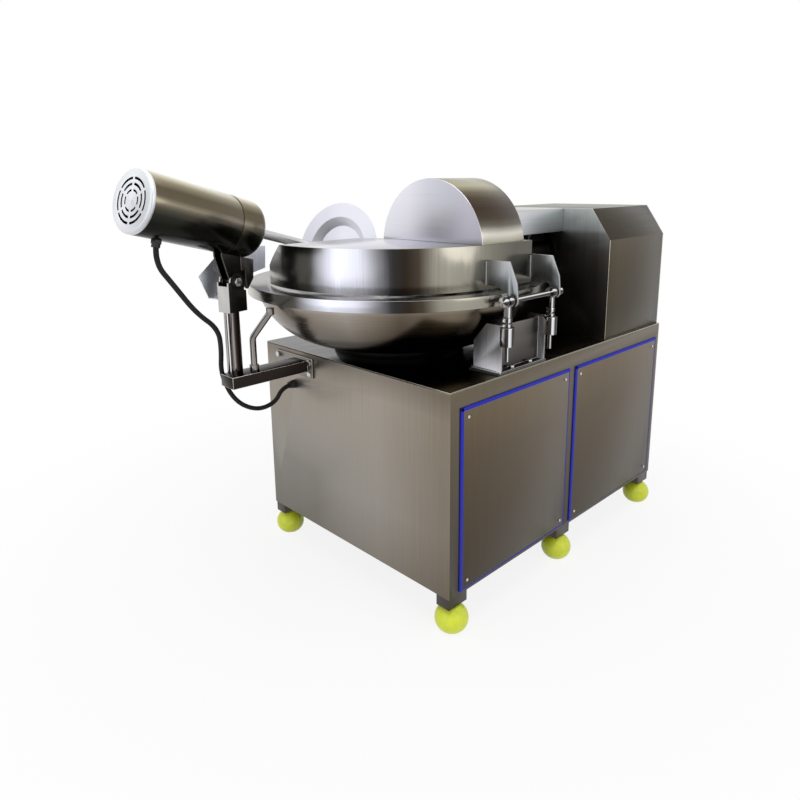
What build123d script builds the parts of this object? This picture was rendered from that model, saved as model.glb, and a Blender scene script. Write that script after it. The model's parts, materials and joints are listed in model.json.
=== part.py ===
"""Bowl cutter for meat: a turning ring-shaped bowl, six sickle knives under a
hinged lid, a belt drive in a rear housing, and a swing-down unloading disc.

Millimetres, +Z up.  The model is laid out about the middle of the cabinet's
footprint on the floor: +X is the side with the service panels and the lid
hinge, -Y is the side where the operator stands and the unloading arm is
carried, +Y is the belt drive.  At the end the whole model moves so that its
origin is the middle of its outer box, on the floor.
"""
from build123d import *
import os
from math import cos, radians, sin, sqrt, tan

# ---------------------------------------------------------------- cabinet
CABINET_WIDTH = 930.0        # X
CABINET_DEPTH = 1310.0       # Y
CABINET_TOP = 790.0          # top of the deck plate above the floor
SKIRT_BOTTOM = 128.0         # lower edge of the sheet panels
SHEET = 3.0                  # cabinet, lid and housing sheet
DECK = 6.0                   # deck plate
PANEL_RETURN = 18.0          # folded edge behind each sheet
LEG_WIDTH = 52.0             # X
LEG_DEPTH = 84.0             # Y
LEG_WALL = 4.0
LEG_BOTTOM = 90.0
RAIL_HEIGHT = 37.0
RAIL_WIDTH = 30.0
MIDDLE_LEG_Y = -20.0
TRAY_RAIL_Y = 360.0          # second rail under the blade motor
SEAL_WIDTH = 5.0             # blue seal round each service panel
PANEL_PROUD = 1.5            # how far a service panel stands out
SIDE_STRIP = 54.0            # frame left at the front and rear of the panels
HEADER = 63.0                # frame left above the panels
SILL = 10.0                  # frame left below the panels
MIDDLE_STRIP = 43.0          # frame between the two panels
MIDDLE_STRIP_Y = -5.0
REAR_STRIP = 28.0
SCREW_RADIUS = 5.0
SCREW_HEAD = 3.0
SCREW_INSET = 22.0

# ---------------------------------------------------------------- feet
FOOT_RADIUS = 54.0
FOOT_SOLE_RADIUS = 34.0
FOOT_HEIGHT = 84.0
FOOT_BELLY = 38.0            # height of the widest place
FOOT_NECK_RADIUS = 24.0
STUD_RADIUS = 12.0

# ---------------------------------------------------------------- bowl
BOWL_X = -82.0
BOWL_Y = -331.0
RIM_RADIUS = 535.0
SPINDLE_HEIGHT = 310.0       # knives' axis above the deck
SPINDLE_Z = CABINET_TOP + SPINDLE_HEIGHT
RIM_TOP = SPINDLE_Z - 59.0
RIM_WALL = 6.0
RIM_BOTTOM = RIM_TOP - 36.0
HUB_TOP = SPINDLE_Z - 100.0
HUB_UNDER = SPINDLE_Z - 250.0
HUB_UNDER_RADIUS = 130.0
TROUGH_PLACE = 240.0         # middle of the trough from the bowl's axis
TROUGH_WALL = 8.0
KNIFE_CLEARANCE = 8.0        # between knife tips and trough
SKIRT_SHEET = 4.0            # outer skin of the bowl
SKIRT_RADIUS = RIM_RADIUS - 35.0
SKIRT_MIDDLE = (SKIRT_RADIUS - 95.0, RIM_BOTTOM - 136.0)
SKIRT_FOOT = (TROUGH_PLACE + 6.0, RIM_BOTTOM - 183.0)
BASE_RING = 14.0

# ---------------------------------------------------------------- bowl drive
PEDESTAL_RADIUS = TROUGH_PLACE  # dark pedestal under the bowl
PEDESTAL_WALL = 35.0
PEDESTAL_TOP = SKIRT_FOOT[1] - 4.0
PEDESTAL_PLATE = 10.0
BEARING_TUBE = 70.0          # outer radius of the bowl bearing housing
BEARING_WALL = 18.0
BEARING_TUBE_BOTTOM = CABINET_TOP - 190.0
BOWL_SHAFT_RADIUS = 35.0
BOWL_SHAFT_BOTTOM = BEARING_TUBE_BOTTOM - 40.0
SHAFT_FLANGE_RADIUS = 110.0
SHAFT_FLANGE = 16.0
BEARING_WIDTH = 25.0
RUNNING = 0.05               # radial clearance of a running fit
REDUCER_SIZE = 200.0
REDUCER_BOTTOM = BEARING_TUBE_BOTTOM - 140.0
BOWL_MOTOR_RADIUS = 68.0
BOWL_MOTOR_LENGTH = 225.0

# ---------------------------------------------------------------- knives and spindle
SPINDLE_X = BOWL_X + TROUGH_PLACE
KNIFE_RADIUS = 205.0
KNIFE_THICKNESS = 6.0
KNIFE_SEAT = 24.0            # hub width of one pair of knives
KNIFE_PAIRS = 3
KNIFE_MIDDLE_Y = BOWL_Y
KNIFE_HUB = 48.0
SPINDLE_RADIUS = 25.0
NUT_WIDTH = 18.0
NUT_FLATS = 76.0
SHOULDER = 10.0
HOUSING_RADIUS = 50.0        # spindle housing tube
HOUSING_FRONT = -268.0
HOUSING_REAR = 370.0
HOUSING_FLANGE = 80.0
SPINDLE_BEARING = 42.0       # outer radius of the spindle bearings
RIB_HALF = 20.0
PILLAR_HALF = 85.0
SPINDLE_PULLEY = 70.0        # pitch radius
MOTOR_PULLEY = 125.0         # pitch radius
PULLEY_WIDTH = 80.0
PULLEY_Y = 390.0             # front face of both pulleys
BELT_COUNT = 4
BELT_PITCH = 18.0
BELT_TOP = 13.0
BELT_THICK = 10.0
BELT_CLEARANCE = 0.5
MOTOR_Z = SKIRT_BOTTOM + 222.0
MOTOR_RADIUS = 150.0
MOTOR_LENGTH = 440.0
MOTOR_SHAFT_RADIUS = 24.0
MOTOR_FINS = 16

# ---------------------------------------------------------------- belt housing
BELT_BOX_FRONT = 222.0
BELT_BOX_REAR = 648.0
BELT_BOX_HALF = 298.0        # half width at the base
BELT_BOX_HEIGHT = SPINDLE_HEIGHT + 172.0
BELT_BOX_CUT_X = 77.0        # cut upper corners
BELT_BOX_CUT_Z = 111.0
BRIDGE_HALF = 99.0
BRIDGE_BOTTOM = SPINDLE_Z + 84.0
BRIDGE_FRONT = -190.0
BRIDGE_SHEET = 4.0
KNOB_RADIUS = 13.0
KNOB_LENGTH = 16.0

# ---------------------------------------------------------------- lid
LID_RADIUS = RIM_RADIUS - 66.0
LID_BOTTOM = RIM_TOP + 6.0
LID_TOP = BRIDGE_BOTTOM
LID_LEFT = -235.0
LID_LEFT_TOP = LID_TOP - 74.0  # height of the lid's side where it is cut low
LID_LEFT_TURN = -140.0       # where the sloping top starts
LID_NOTCH = ((-235.0, -560.0), (-64.0, -413.0))
LID_REAR = BRIDGE_FRONT - 10.0            # rear wall of the main part
LID_WING_X = 300.0           # the part beside the spindle that carries a hinge plate
LID_WING_REAR = -166.0
DOME_RADIUS = KNIFE_RADIUS + 17.0
DOME_CENTRE_Z = SPINDLE_Z + 64.0
DOME_FRONT = -413.0
SPINDLE_SLOT = 74.0          # half width of the slot in the rear wall

# ---------------------------------------------------------------- lid hinge
HINGE_X = BOWL_X + RIM_RADIUS + 30.0
HINGE_Z = RIM_TOP - 17.0
PIN_RADIUS = 9.0
PIN_HEAD = 17.0
PIN_FRONT = -445.0
PIN_REAR = -140.0
EYE_FRONT = -418.0           # middle of the front eye
EYE_REAR = -190.0
EYE_RADIUS = 18.0
EYE_WIDTH = 18.0
EYE_SHANK = 12.0
HINGE_PLATE = 6.0
HINGE_PLATE_FRONT = EYE_FRONT + 20.0
HINGE_PLATE_REAR = EYE_REAR + 18.0
SLEEVE_RADIUS = 22.0
SLEEVE_BOTTOM = HINGE_Z - 136.0
SLEEVE_TOP = HINGE_Z - 78.0
THREAD_RADIUS = 7.0
THREAD_BOTTOM = HINGE_Z - 184.0
EYE_NUT_FLATS = 28.0
BRACKET_PLATE = 6.0
BRACKET_REACH = 128.0        # from the pin back to the bracket's inner end
BRACKET_FRONT = EYE_FRONT - 3.0
BRACKET_REAR = EYE_REAR - 3.0
BRACKET_GASKET = 6.0

# ---------------------------------------------------------------- unloading arm
ARM_X = -240.0
POST_Y = -CABINET_DEPTH / 2 - 263.0
POST_RADIUS = 19.0
GUIDE_ROD = (-22.0, -16.0, 5.0)  # X and Y from the post's axis, radius
BAR_WIDTH = 76.0
BAR_TOP = CABINET_TOP - 28.0
BAR_HEIGHT = 40.0
BAR_END = POST_Y - 40.0
BAR_WALL = 4.0
FLANGE = (ARM_X - 155.0, ARM_X + 64.0, CABINET_TOP - 90.0, CABINET_TOP - 18.0)
FLANGE_PLATE = 6.0
ARM_HEADING = 10.5           # degrees the arm is turned from +Y towards -X
ARM_SLOPE = 14.5             # degrees the arm dips towards the bowl
PIVOT_Z = RIM_TOP + 29.0
PIVOT_RADIUS = 8.0
CLEVIS_WIDTH = 54.0
CLEVIS_DEPTH = 72.0
CLEVIS_PLATE = 6.0
CLEVIS_BOTTOM = PIVOT_Z - 97.0
CLEVIS_WEB_TOP = PIVOT_Z - 12.0
CLEVIS_ROUND = 28.0
FORK_GAP = 0.5               # each side, between fork and clevis
FORK_PLATE = 5.0
FORK_DOUBLER = 2.0           # plate on the rear half of the right cheek
FORK_ROUND = 24.0
ARM_SET_BACK = 15.0          # the arm's axis is measured from behind the post
ARM_AXIS_Z = PIVOT_Z + 175.0  # height of the arm's axis over the post
TUBE_RADIUS = 92.5
TUBE_WALL = 3.0
TUBE_START = -342.0          # places along the arm's axis, 0 over the post
TUBE_SEAM = -34.0
COLLAR_END = 75.0
COLLAR_FILLET = 34.0
COLLAR_PROUD = 0.8           # how far the collar stands out from the tube
CHUTE_REACH = 96.0           # from the post's axis to the chute's sheet
CAP_DEPTH = 14.0
FAN_RINGS = ((26.0, 32.0), (42.5, 49.5), (59.0, 66.0))
FAN_SLOTS = 6
FAN_BRIDGE = 8.0             # metal left between two slots
ARM_SHAFT_RADIUS = 16.0
ARM_MOTOR_RADIUS = 70.0
DISC_PLACE = 538.0
DISC_RADIUS = 190.0
DISC_SHEET = 4.0
DISC_DISH = 22.0
DISC_DISH_RADIUS = 137.0

# ---------------------------------------------------------------- stay and cable
STAY_FOOT = (ARM_X + 10.0, POST_Y + 59.0, BAR_TOP)
STAY_BEND = (ARM_X + 10.0, POST_Y + 59.0, RIM_BOTTOM - 129.0)
STAY_TOP = (ARM_X + 98.0, POST_Y + 76.0, RIM_BOTTOM - 34.0)
STAY_SOCKET_HEIGHT = 22.0
STAY_SOCKET = 16.0
STAY_RADIUS = 11.0
CABLE_RADIUS = 8.0
GLAND_RADIUS = 14.0
GLAND_LENGTH = 22.0
GLAND_PLACE = -262.0
CABINET_GLAND = (ARM_X - 60.0, -CABINET_DEPTH / 2, CABINET_TOP - 135.0)

HALF_W = CABINET_WIDTH / 2
HALF_D = CABINET_DEPTH / 2
DECK_UNDER = CABINET_TOP - DECK
BELT_BOX_TOP = CABINET_TOP + BELT_BOX_HEIGHT


def block(x0, x1, y0, y1, z0, z1):
    """A box between two corners."""
    size = (x1 - x0, y1 - y0, z1 - z0)
    middle = ((x0 + x1) / 2, (y0 + y1) / 2, (z0 + z1) / 2)
    return Pos(*middle) * Box(*size)


def rod(start, end, radius):
    """A round bar between two points."""
    a, b = Vector(*start), Vector(*end)
    plane = Plane(origin=a, z_dir=b - a)
    return extrude(plane * Circle(radius), (b - a).length)


def pipe(start, end, radius, bore):
    return rod(start, end, radius) - rod(start, end, bore)


def upright(x, y, z0, z1, radius):
    return rod((x, y, z0), (x, y, z1), radius)


def plate_xz(points, y0, y1):
    """A plate standing across Y, from its outline in X and Z."""
    outline = Plane.XZ * make_face(Polyline(*points, close=True))
    return Pos(0, y1, 0) * extrude(outline, y1 - y0)


def hexagon(x, y, z0, z1, flats):
    face = Pos(x, y, z0) * RegularPolygon(flats / 2, 6, major_radius=False)
    return extrude(face, z1 - z0)


# ================================================================ cabinet
def leg_centres():
    x = HALF_W - SHEET - LEG_WIDTH / 2
    y = HALF_D - SHEET - LEG_DEPTH / 2
    return [(sx * x, sy) for sy in (-y, MIDDLE_LEG_Y, y) for sx in (-1, 1)]


def leg_space():
    """The room the six legs take up, cut out of the sheets' folded edges."""
    legs = [block(x - LEG_WIDTH / 2, x + LEG_WIDTH / 2, y - LEG_DEPTH / 2, y + LEG_DEPTH / 2,
                  LEG_BOTTOM, DECK_UNDER) for x, y in leg_centres()]
    return Part() + legs


def make_cabinet_frame():
    frame = None
    for x, y in leg_centres():
        outer = block(x - LEG_WIDTH / 2, x + LEG_WIDTH / 2, y - LEG_DEPTH / 2,
                      y + LEG_DEPTH / 2, LEG_BOTTOM, DECK_UNDER)
        inner = block(x - LEG_WIDTH / 2 + LEG_WALL, x + LEG_WIDTH / 2 - LEG_WALL,
                      y - LEG_DEPTH / 2 + LEG_WALL, y + LEG_DEPTH / 2 - LEG_WALL,
                      LEG_BOTTOM + LEG_WALL, DECK_UNDER)
        hole = upright(x, y, LEG_BOTTOM, LEG_BOTTOM + LEG_WALL, STUD_RADIUS)
        leg = outer - inner - hole
        frame = leg if frame is None else frame + leg
    z0, z1 = SKIRT_BOTTOM + SHEET, SKIRT_BOTTOM + SHEET + RAIL_HEIGHT
    x_in = HALF_W - SHEET - LEG_WIDTH
    y_in = HALF_D - SHEET - LEG_DEPTH
    x_rail = HALF_W - SHEET - (LEG_WIDTH - RAIL_WIDTH) / 2
    y_rail = HALF_D - SHEET - (LEG_DEPTH - RAIL_WIDTH) / 2
    mid0, mid1 = MIDDLE_LEG_Y - LEG_DEPTH / 2, MIDDLE_LEG_Y + LEG_DEPTH / 2
    for side in (-1, 1):
        xa, xb = sorted((side * x_rail, side * (x_rail - RAIL_WIDTH)))
        frame += block(xa, xb, -y_in, mid0, z0, z1)
        frame += block(xa, xb, mid1, y_in, z0, z1)
        ya, yb = sorted((side * y_rail, side * (y_rail - RAIL_WIDTH)))
        frame += block(-x_in, x_in, ya, yb, z0, z1)
    for y in (MIDDLE_LEG_Y, TRAY_RAIL_Y):
        x = x_in if y == MIDDLE_LEG_Y else x_rail - RAIL_WIDTH
        frame += block(-x, x, y - RAIL_WIDTH / 2, y + RAIL_WIDTH / 2, z0, z1)
    return frame


def make_deck():
    deck = block(-HALF_W, HALF_W, -HALF_D, HALF_D, DECK_UNDER, CABINET_TOP)
    deck -= upright(BOWL_X, BOWL_Y, DECK_UNDER, CABINET_TOP, BEARING_TUBE + 2)
    half = max(MOTOR_PULLEY, SPINDLE_PULLEY) - 10
    return deck - block(SPINDLE_X - half, SPINDLE_X + half, PULLEY_Y + 5,
                        PULLEY_Y + PULLEY_WIDTH + 5, DECK_UNDER, CABINET_TOP)


def make_front_panel():
    y = -HALF_D
    panel = block(-HALF_W, HALF_W, y, y + SHEET, SKIRT_BOTTOM, DECK_UNDER)
    x = HALF_W - SHEET
    panel += block(-x, x, y + SHEET, y + SHEET + PANEL_RETURN, SKIRT_BOTTOM, SKIRT_BOTTOM + SHEET)
    return panel - cable_hole() - leg_space()


def cable_hole():
    x, y, z = CABINET_GLAND
    return rod((x, y, z), (x, y + SHEET, z), CABLE_RADIUS)


def make_rear_panel():
    y = HALF_D
    panel = block(-HALF_W, HALF_W, y - SHEET, y, SKIRT_BOTTOM, DECK_UNDER)
    x = HALF_W - SHEET
    panel += block(-x, x, y - SHEET - PANEL_RETURN, y - SHEET, SKIRT_BOTTOM, SKIRT_BOTTOM + SHEET)
    return panel - leg_space()


def make_left_panel():
    y = HALF_D - SHEET
    x = -HALF_W
    panel = block(x, x + SHEET, -y, y, SKIRT_BOTTOM, DECK_UNDER)
    y -= PANEL_RETURN
    panel += block(x + SHEET, x + SHEET + PANEL_RETURN, -y, y, SKIRT_BOTTOM, SKIRT_BOTTOM + SHEET)
    return panel - leg_space()


def service_openings():
    """Y and Z limits of the two openings in the right-hand frame."""
    z0, z1 = SKIRT_BOTTOM + SILL, CABINET_TOP - HEADER
    front = (-HALF_D + SIDE_STRIP, MIDDLE_STRIP_Y - MIDDLE_STRIP / 2)
    rear = (MIDDLE_STRIP_Y + MIDDLE_STRIP / 2, HALF_D - REAR_STRIP)
    return [front + (z0, z1), rear + (z0, z1)]


def make_right_frame():
    y = HALF_D - SHEET
    x = HALF_W
    side = block(x - SHEET, x, -y, y, SKIRT_BOTTOM, DECK_UNDER)
    for y0, y1, z0, z1 in service_openings():
        side -= block(x - SHEET, x, y0, y1, z0, z1)
    return side


def make_service_panel(opening):
    """A cover with a folded edge; it stands a little proud of the frame."""
    y0, y1, z0, z1 = opening
    y0, y1 = y0 + SEAL_WIDTH, y1 - SEAL_WIDTH
    z0, z1 = z0 + SEAL_WIDTH, z1 - SEAL_WIDTH
    x = HALF_W + PANEL_PROUD
    back = HALF_W - SHEET
    return (block(back, x, y0, y1, z0, z1)
            - block(back, x - SHEET, y0 + SHEET, y1 - SHEET, z0 + SHEET, z1 - SHEET))


def make_panel_seals():
    seals = []
    for y0, y1, z0, z1 in service_openings():
        x0, x1 = HALF_W - SHEET, HALF_W + PANEL_PROUD
        w = SEAL_WIDTH
        seals.append(block(x0, x1, y0, y1, z0, z1)
                     - block(x0, x1, y0 + w, y1 - w, z0 + w, z1 - w))
    return Compound(seals)


def make_panel_screws():
    screws = []
    x = HALF_W + PANEL_PROUD
    for y0, y1, z0, z1 in service_openings():
        inset = SEAL_WIDTH + SCREW_INSET
        for y in (y0 + inset, y1 - inset):
            for z in (z0 + inset, z1 - inset):
                head = rod((x, y, z), (x + SCREW_HEAD, y, z), SCREW_RADIUS)
                screws.append(chamfer(head.faces().sort_by(Axis.X)[-1].edges(), 1))
    return Compound(screws)


def make_feet():
    """Six levelling feet, each a flattened ball with its threaded stud."""
    with BuildPart() as foot:
        with BuildSketch(Plane.XZ):
            with BuildLine():
                sole = Line((0, 0), (FOOT_SOLE_RADIUS, 0))
                belly = ThreePointArc(sole @ 1, (FOOT_RADIUS, FOOT_BELLY),
                                      (FOOT_NECK_RADIUS + 10, FOOT_HEIGHT - 8))
                neck = Line(belly @ 1, (FOOT_NECK_RADIUS, FOOT_HEIGHT))
                top = Line(neck @ 1, (0, FOOT_HEIGHT))
                Line(top @ 1, sole @ 0)
            make_face()
        revolve(axis=Axis.Z)
    stud = upright(0, 0, FOOT_HEIGHT, LEG_BOTTOM + LEG_WALL + 12, STUD_RADIUS)
    stud += hexagon(0, 0, FOOT_HEIGHT, LEG_BOTTOM, 3 * STUD_RADIUS)
    return Compound([Pos(x, y, 0) * (foot.part + stud) for x, y in leg_centres()])


# ================================================================ bowl
def trough_centre():
    return SPINDLE_X - BOWL_X, SPINDLE_Z


def reach(radius, z):
    """Half width, at height z, of a circle about the spindle's height."""
    return sqrt(radius ** 2 - (SPINDLE_Z - z) ** 2)


def make_bowl():
    """A ring-shaped trough round a raised hub, with a flat rim and an upright band."""
    cx, cz = trough_centre()
    r_in = KNIFE_RADIUS + KNIFE_CLEARANCE
    r_out = r_in + TROUGH_WALL
    rim_under = RIM_TOP - RIM_WALL
    hub_low = cz - sqrt(r_out ** 2 - (cx - HUB_UNDER_RADIUS) ** 2)
    band_in = RIM_RADIUS - RIM_WALL
    with BuildPart() as bowl:
        with BuildSketch(Plane.XZ):
            with BuildLine():
                top = Line((0, HUB_TOP), (cx - reach(r_in, HUB_TOP), HUB_TOP))
                trough = ThreePointArc(top @ 1, (cx, cz - r_in), (cx + reach(r_in, RIM_TOP), RIM_TOP))
                rim = Line(trough @ 1, (RIM_RADIUS, RIM_TOP))
                band = Line(rim @ 1, (RIM_RADIUS, RIM_BOTTOM))
                lip = Line(band @ 1, (band_in, RIM_BOTTOM))
                inside = Line(lip @ 1, (band_in, rim_under))
                under = Line(inside @ 1, (cx + reach(r_out, rim_under), rim_under))
                belly = ThreePointArc(under @ 1, (cx, cz - r_out), (HUB_UNDER_RADIUS, hub_low))
                wall = Line(belly @ 1, (HUB_UNDER_RADIUS, HUB_UNDER))
                seat = Line(wall @ 1, (0, HUB_UNDER))
                Line(seat @ 1, top @ 0)
            make_face()
        revolve(axis=Axis.Z)
    return Pos(BOWL_X, BOWL_Y, 0) * bowl.part


def make_bowl_skirt():
    """The brown outer skin: a band under the rim, a round belly and a base ring."""
    cx, cz = trough_centre()
    r_out = KNIFE_RADIUS + KNIFE_CLEARANCE + TROUGH_WALL
    foot_r, foot_z = SKIRT_FOOT
    touch = cz - sqrt(r_out ** 2 - (foot_r - cx) ** 2)
    inner = SKIRT_RADIUS - SKIRT_SHEET
    with BuildPart() as skirt:
        with BuildSketch(Plane.XZ):
            with BuildLine():
                top = Line((inner, RIM_TOP - RIM_WALL), (SKIRT_RADIUS, RIM_TOP - RIM_WALL))
                side = Line(top @ 1, (SKIRT_RADIUS, RIM_BOTTOM))
                belly = ThreePointArc(side @ 1, SKIRT_MIDDLE, SKIRT_FOOT)
                foot = Line(belly @ 1, (foot_r - BASE_RING, foot_z))
                ring = Line(foot @ 1, (foot_r - BASE_RING, touch))
                edge = Line(ring @ 1, (foot_r, touch))
                ring2 = Line(edge @ 1, (foot_r, foot_z + SKIRT_SHEET))
                back = ThreePointArc(ring2 @ 1, (SKIRT_MIDDLE[0] - 2.5, SKIRT_MIDDLE[1] + 3.2),
                                     (inner, RIM_BOTTOM))
                Line(back @ 1, top @ 0)
            make_face()
        revolve(axis=Axis.Z)
    bowl_outside = Pos(cx, cz) * Circle(r_out)
    trough = revolve(Plane.XZ * bowl_outside, Axis.Z)
    return Pos(BOWL_X, BOWL_Y, 0) * (skirt.part - trough)


def make_bowl_shaft():
    top = HUB_UNDER
    shaft = upright(BOWL_X, BOWL_Y, top - SHAFT_FLANGE, top, SHAFT_FLANGE_RADIUS)
    return shaft + upright(BOWL_X, BOWL_Y, BOWL_SHAFT_BOTTOM, top - SHAFT_FLANGE, BOWL_SHAFT_RADIUS)


def ring_z(z0, z1, radius, bore):
    return pipe((BOWL_X, BOWL_Y, z0), (BOWL_X, BOWL_Y, z1), radius, bore)


def make_pedestal():
    """Collar on the deck with the bearing housing hanging below it."""
    bore = BEARING_TUBE - BEARING_WALL
    collar = ring_z(CABINET_TOP, PEDESTAL_TOP, PEDESTAL_RADIUS, PEDESTAL_RADIUS - PEDESTAL_WALL)
    floor = ring_z(CABINET_TOP, CABINET_TOP + PEDESTAL_PLATE, PEDESTAL_RADIUS - PEDESTAL_WALL, bore)
    return collar + floor + ring_z(BEARING_TUBE_BOTTOM, CABINET_TOP, BEARING_TUBE, bore)


def make_bowl_bearings():
    """Two bearings that fill the space between shaft and housing."""
    outer, bore = BEARING_TUBE - BEARING_WALL, BOWL_SHAFT_RADIUS + RUNNING
    places = (BEARING_TUBE_BOTTOM + 20, CABINET_TOP - BEARING_WIDTH + 5)
    return Compound([ring_z(z, z + BEARING_WIDTH, outer, bore) for z in places])


def make_bowl_gearmotor():
    """Reducer under the bearing housing with its motor on the left side."""
    half = REDUCER_SIZE / 2
    top = BEARING_TUBE_BOTTOM
    body = block(BOWL_X - half, BOWL_X + half, BOWL_Y - half, BOWL_Y + half, REDUCER_BOTTOM, top)
    body = fillet(body.edges().filter_by(Axis.Z), 20)
    body -= upright(BOWL_X, BOWL_Y, BOWL_SHAFT_BOTTOM - 2, top, BOWL_SHAFT_RADIUS + 0.5)
    z = (REDUCER_BOTTOM + top) / 2
    start = BOWL_X - half
    motor = rod((start, BOWL_Y, z), (start - BOWL_MOTOR_LENGTH, BOWL_Y, z), BOWL_MOTOR_RADIUS)
    motor = fillet(motor.faces().sort_by(Axis.X)[0].edges(), 12)
    return body + motor


def make_motor_base():
    """Plate on the base rails with two feet under the blade motor."""
    z0 = SKIRT_BOTTOM + SHEET + RAIL_HEIGHT
    y1 = PULLEY_Y - 10
    y0 = y1 - MOTOR_LENGTH
    base = block(SPINDLE_X - 160, SPINDLE_X + 160, y0, y1, z0, z0 + 10)
    for y in (y0 + 50, y1 - 110):
        base += block(SPINDLE_X - 100, SPINDLE_X + 100, y, y + 50, z0 + 10, MOTOR_Z - 60)
    return base - along_y(y0, y1, MOTOR_RADIUS, z=MOTOR_Z)


# ================================================================ spindle and knives
def along_y(y0, y1, radius, x=SPINDLE_X, z=SPINDLE_Z):
    return rod((x, y0, z), (x, y1, z), radius)


def knife_stack():
    half = KNIFE_PAIRS * KNIFE_SEAT / 2
    return KNIFE_MIDDLE_Y - half, KNIFE_MIDDLE_Y + half


def knife_outline():
    """A sickle blade: round back, hollow cutting edge, ring round the shaft."""
    r = KNIFE_RADIUS
    blade = Circle(r) & Pos(0.42 * r, 0.10 * r) * Circle(0.78 * r)
    blade -= Pos(0.36 * r, -0.62 * r) * Circle(0.70 * r)
    blade = blade & Pos(0.5 * r, 0.30 * r) * Rectangle(1.3 * r, 1.4 * r)
    return blade + Circle(KNIFE_HUB)


def make_knife_pair(number):
    """Two knives set opposite each other on one hub ring."""
    front, _ = knife_stack()
    y0 = front + number * KNIFE_SEAT
    pair = along_y(y0, y0 + KNIFE_SEAT, KNIFE_HUB, 0, 0)
    middle = y0 + KNIFE_SEAT / 2
    for turn in (0, 180):
        blade = extrude(knife_outline(), KNIFE_THICKNESS)
        pair += Pos(0, middle + KNIFE_THICKNESS / 2, 0) * Rot(90, 0, 0) * Rot(0, 0, turn) * blade
    pair -= along_y(y0, y0 + KNIFE_SEAT, SPINDLE_RADIUS, 0, 0)
    return Pos(SPINDLE_X, 0, SPINDLE_Z) * Rot(0, -60 * number, 0) * pair


def make_knife_shaft():
    front, rear = knife_stack()
    shaft = along_y(front - NUT_WIDTH, PULLEY_Y + PULLEY_WIDTH, SPINDLE_RADIUS)
    return shaft + along_y(rear, rear + SHOULDER, KNIFE_HUB - 8)


def make_knife_nut():
    front, _ = knife_stack()
    nut = extrude(Plane.XZ * Pos(SPINDLE_X, SPINDLE_Z) * RegularPolygon(
        NUT_FLATS / 2, 6, major_radius=False), NUT_WIDTH)
    return Pos(0, front, 0) * nut - along_y(front - NUT_WIDTH, front, SPINDLE_RADIUS)


def make_spindle_housing():
    """Bearing tube that reaches over the bowl from a pillar in the belt housing."""
    body = along_y(HOUSING_FRONT, HOUSING_REAR, HOUSING_RADIUS)
    body += along_y(BELT_BOX_FRONT - 12, BELT_BOX_FRONT, HOUSING_FLANGE)
    body += block(SPINDLE_X - RIB_HALF, SPINDLE_X + RIB_HALF, BRIDGE_FRONT + 5,
                  BELT_BOX_FRONT - 12, SPINDLE_Z, BRIDGE_BOTTOM)
    y0 = BELT_BOX_FRONT + SHEET
    body += block(SPINDLE_X - PILLAR_HALF, SPINDLE_X + PILLAR_HALF, y0, HOUSING_REAR,
                  CABINET_TOP, SPINDLE_Z + 60)
    return body - along_y(HOUSING_FRONT, HOUSING_REAR, SPINDLE_BEARING)


def make_spindle_bearings():
    rings = []
    for y in (HOUSING_FRONT + 30, HOUSING_REAR - 40):
        ring = along_y(y, y + BEARING_WIDTH, SPINDLE_BEARING)
        rings.append(ring - along_y(y, y + BEARING_WIDTH, SPINDLE_RADIUS + RUNNING))
    return Compound(rings)


def belt_places():
    """Middle of each belt across the pulleys."""
    first = PULLEY_Y + PULLEY_WIDTH / 2 - (BELT_COUNT - 1) * BELT_PITCH / 2
    return [first + i * BELT_PITCH for i in range(BELT_COUNT)]


def make_pulley(z, pitch, bore):
    """A grooved pulley; every groove holds one belt."""
    y1 = PULLEY_Y + PULLEY_WIDTH
    wheel = along_y(PULLEY_Y, y1, pitch + BELT_THICK / 2, z=z) - along_y(PULLEY_Y, y1, bore, z=z)
    half = BELT_TOP / 2 + BELT_CLEARANCE
    floor = pitch - BELT_THICK / 2 - BELT_CLEARANCE
    for y in belt_places():
        groove = along_y(y - half, y + half, pitch + BELT_THICK, z=z)
        wheel -= groove - along_y(y - half, y + half, floor, z=z)
    return wheel


def belt_face(offset):
    """Area inside a loop round both pulleys, moved out from the pitch line."""
    r0, r1 = SPINDLE_PULLEY + offset, MOTOR_PULLEY + offset
    span = SPINDLE_Z - MOTOR_Z
    lean = (r1 - r0) / span
    c = sqrt(1 - lean ** 2)
    corners = [(r0 * c, span + r0 * lean), (-r0 * c, span + r0 * lean),
               (-r1 * c, r1 * lean), (r1 * c, r1 * lean)]
    side = make_face(Polyline(*corners, close=True))
    return Pos(SPINDLE_X, MOTOR_Z) * (side + Pos(0, span) * Circle(r0) + Circle(r1))


def make_drive_belts():
    """Four belts round the two pulleys."""
    loop = belt_face(BELT_THICK / 2) - belt_face(-BELT_THICK / 2)
    belt = extrude(Plane.XZ * loop, BELT_TOP)
    return Compound([Pos(0, y + BELT_TOP / 2, 0) * belt for y in belt_places()])


def make_blade_motor():
    """Finned motor case lying along Y, its shaft end towards the pulley."""
    y1 = PULLEY_Y - 10
    y0 = y1 - MOTOR_LENGTH
    case = along_y(y0 + 60, y1 - 24, MOTOR_RADIUS - 18, 0, 0)
    for i in range(MOTOR_FINS):
        fin = block(-4, 4, y0 + 60, y1 - 24, MOTOR_RADIUS - 24, MOTOR_RADIUS - 4)
        case += Rot(0, 360 / MOTOR_FINS * (i + 0.5), 0) * fin
    case += along_y(y1 - 24, y1, MOTOR_RADIUS, 0, 0) + along_y(y0, y0 + 60, MOTOR_RADIUS, 0, 0)
    bore = along_y(y1 - 60, y1, MOTOR_SHAFT_RADIUS + RUNNING, 0, 0)
    case = Pos(SPINDLE_X, 0, MOTOR_Z) * (case - bore)
    return case - make_motor_base()


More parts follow.
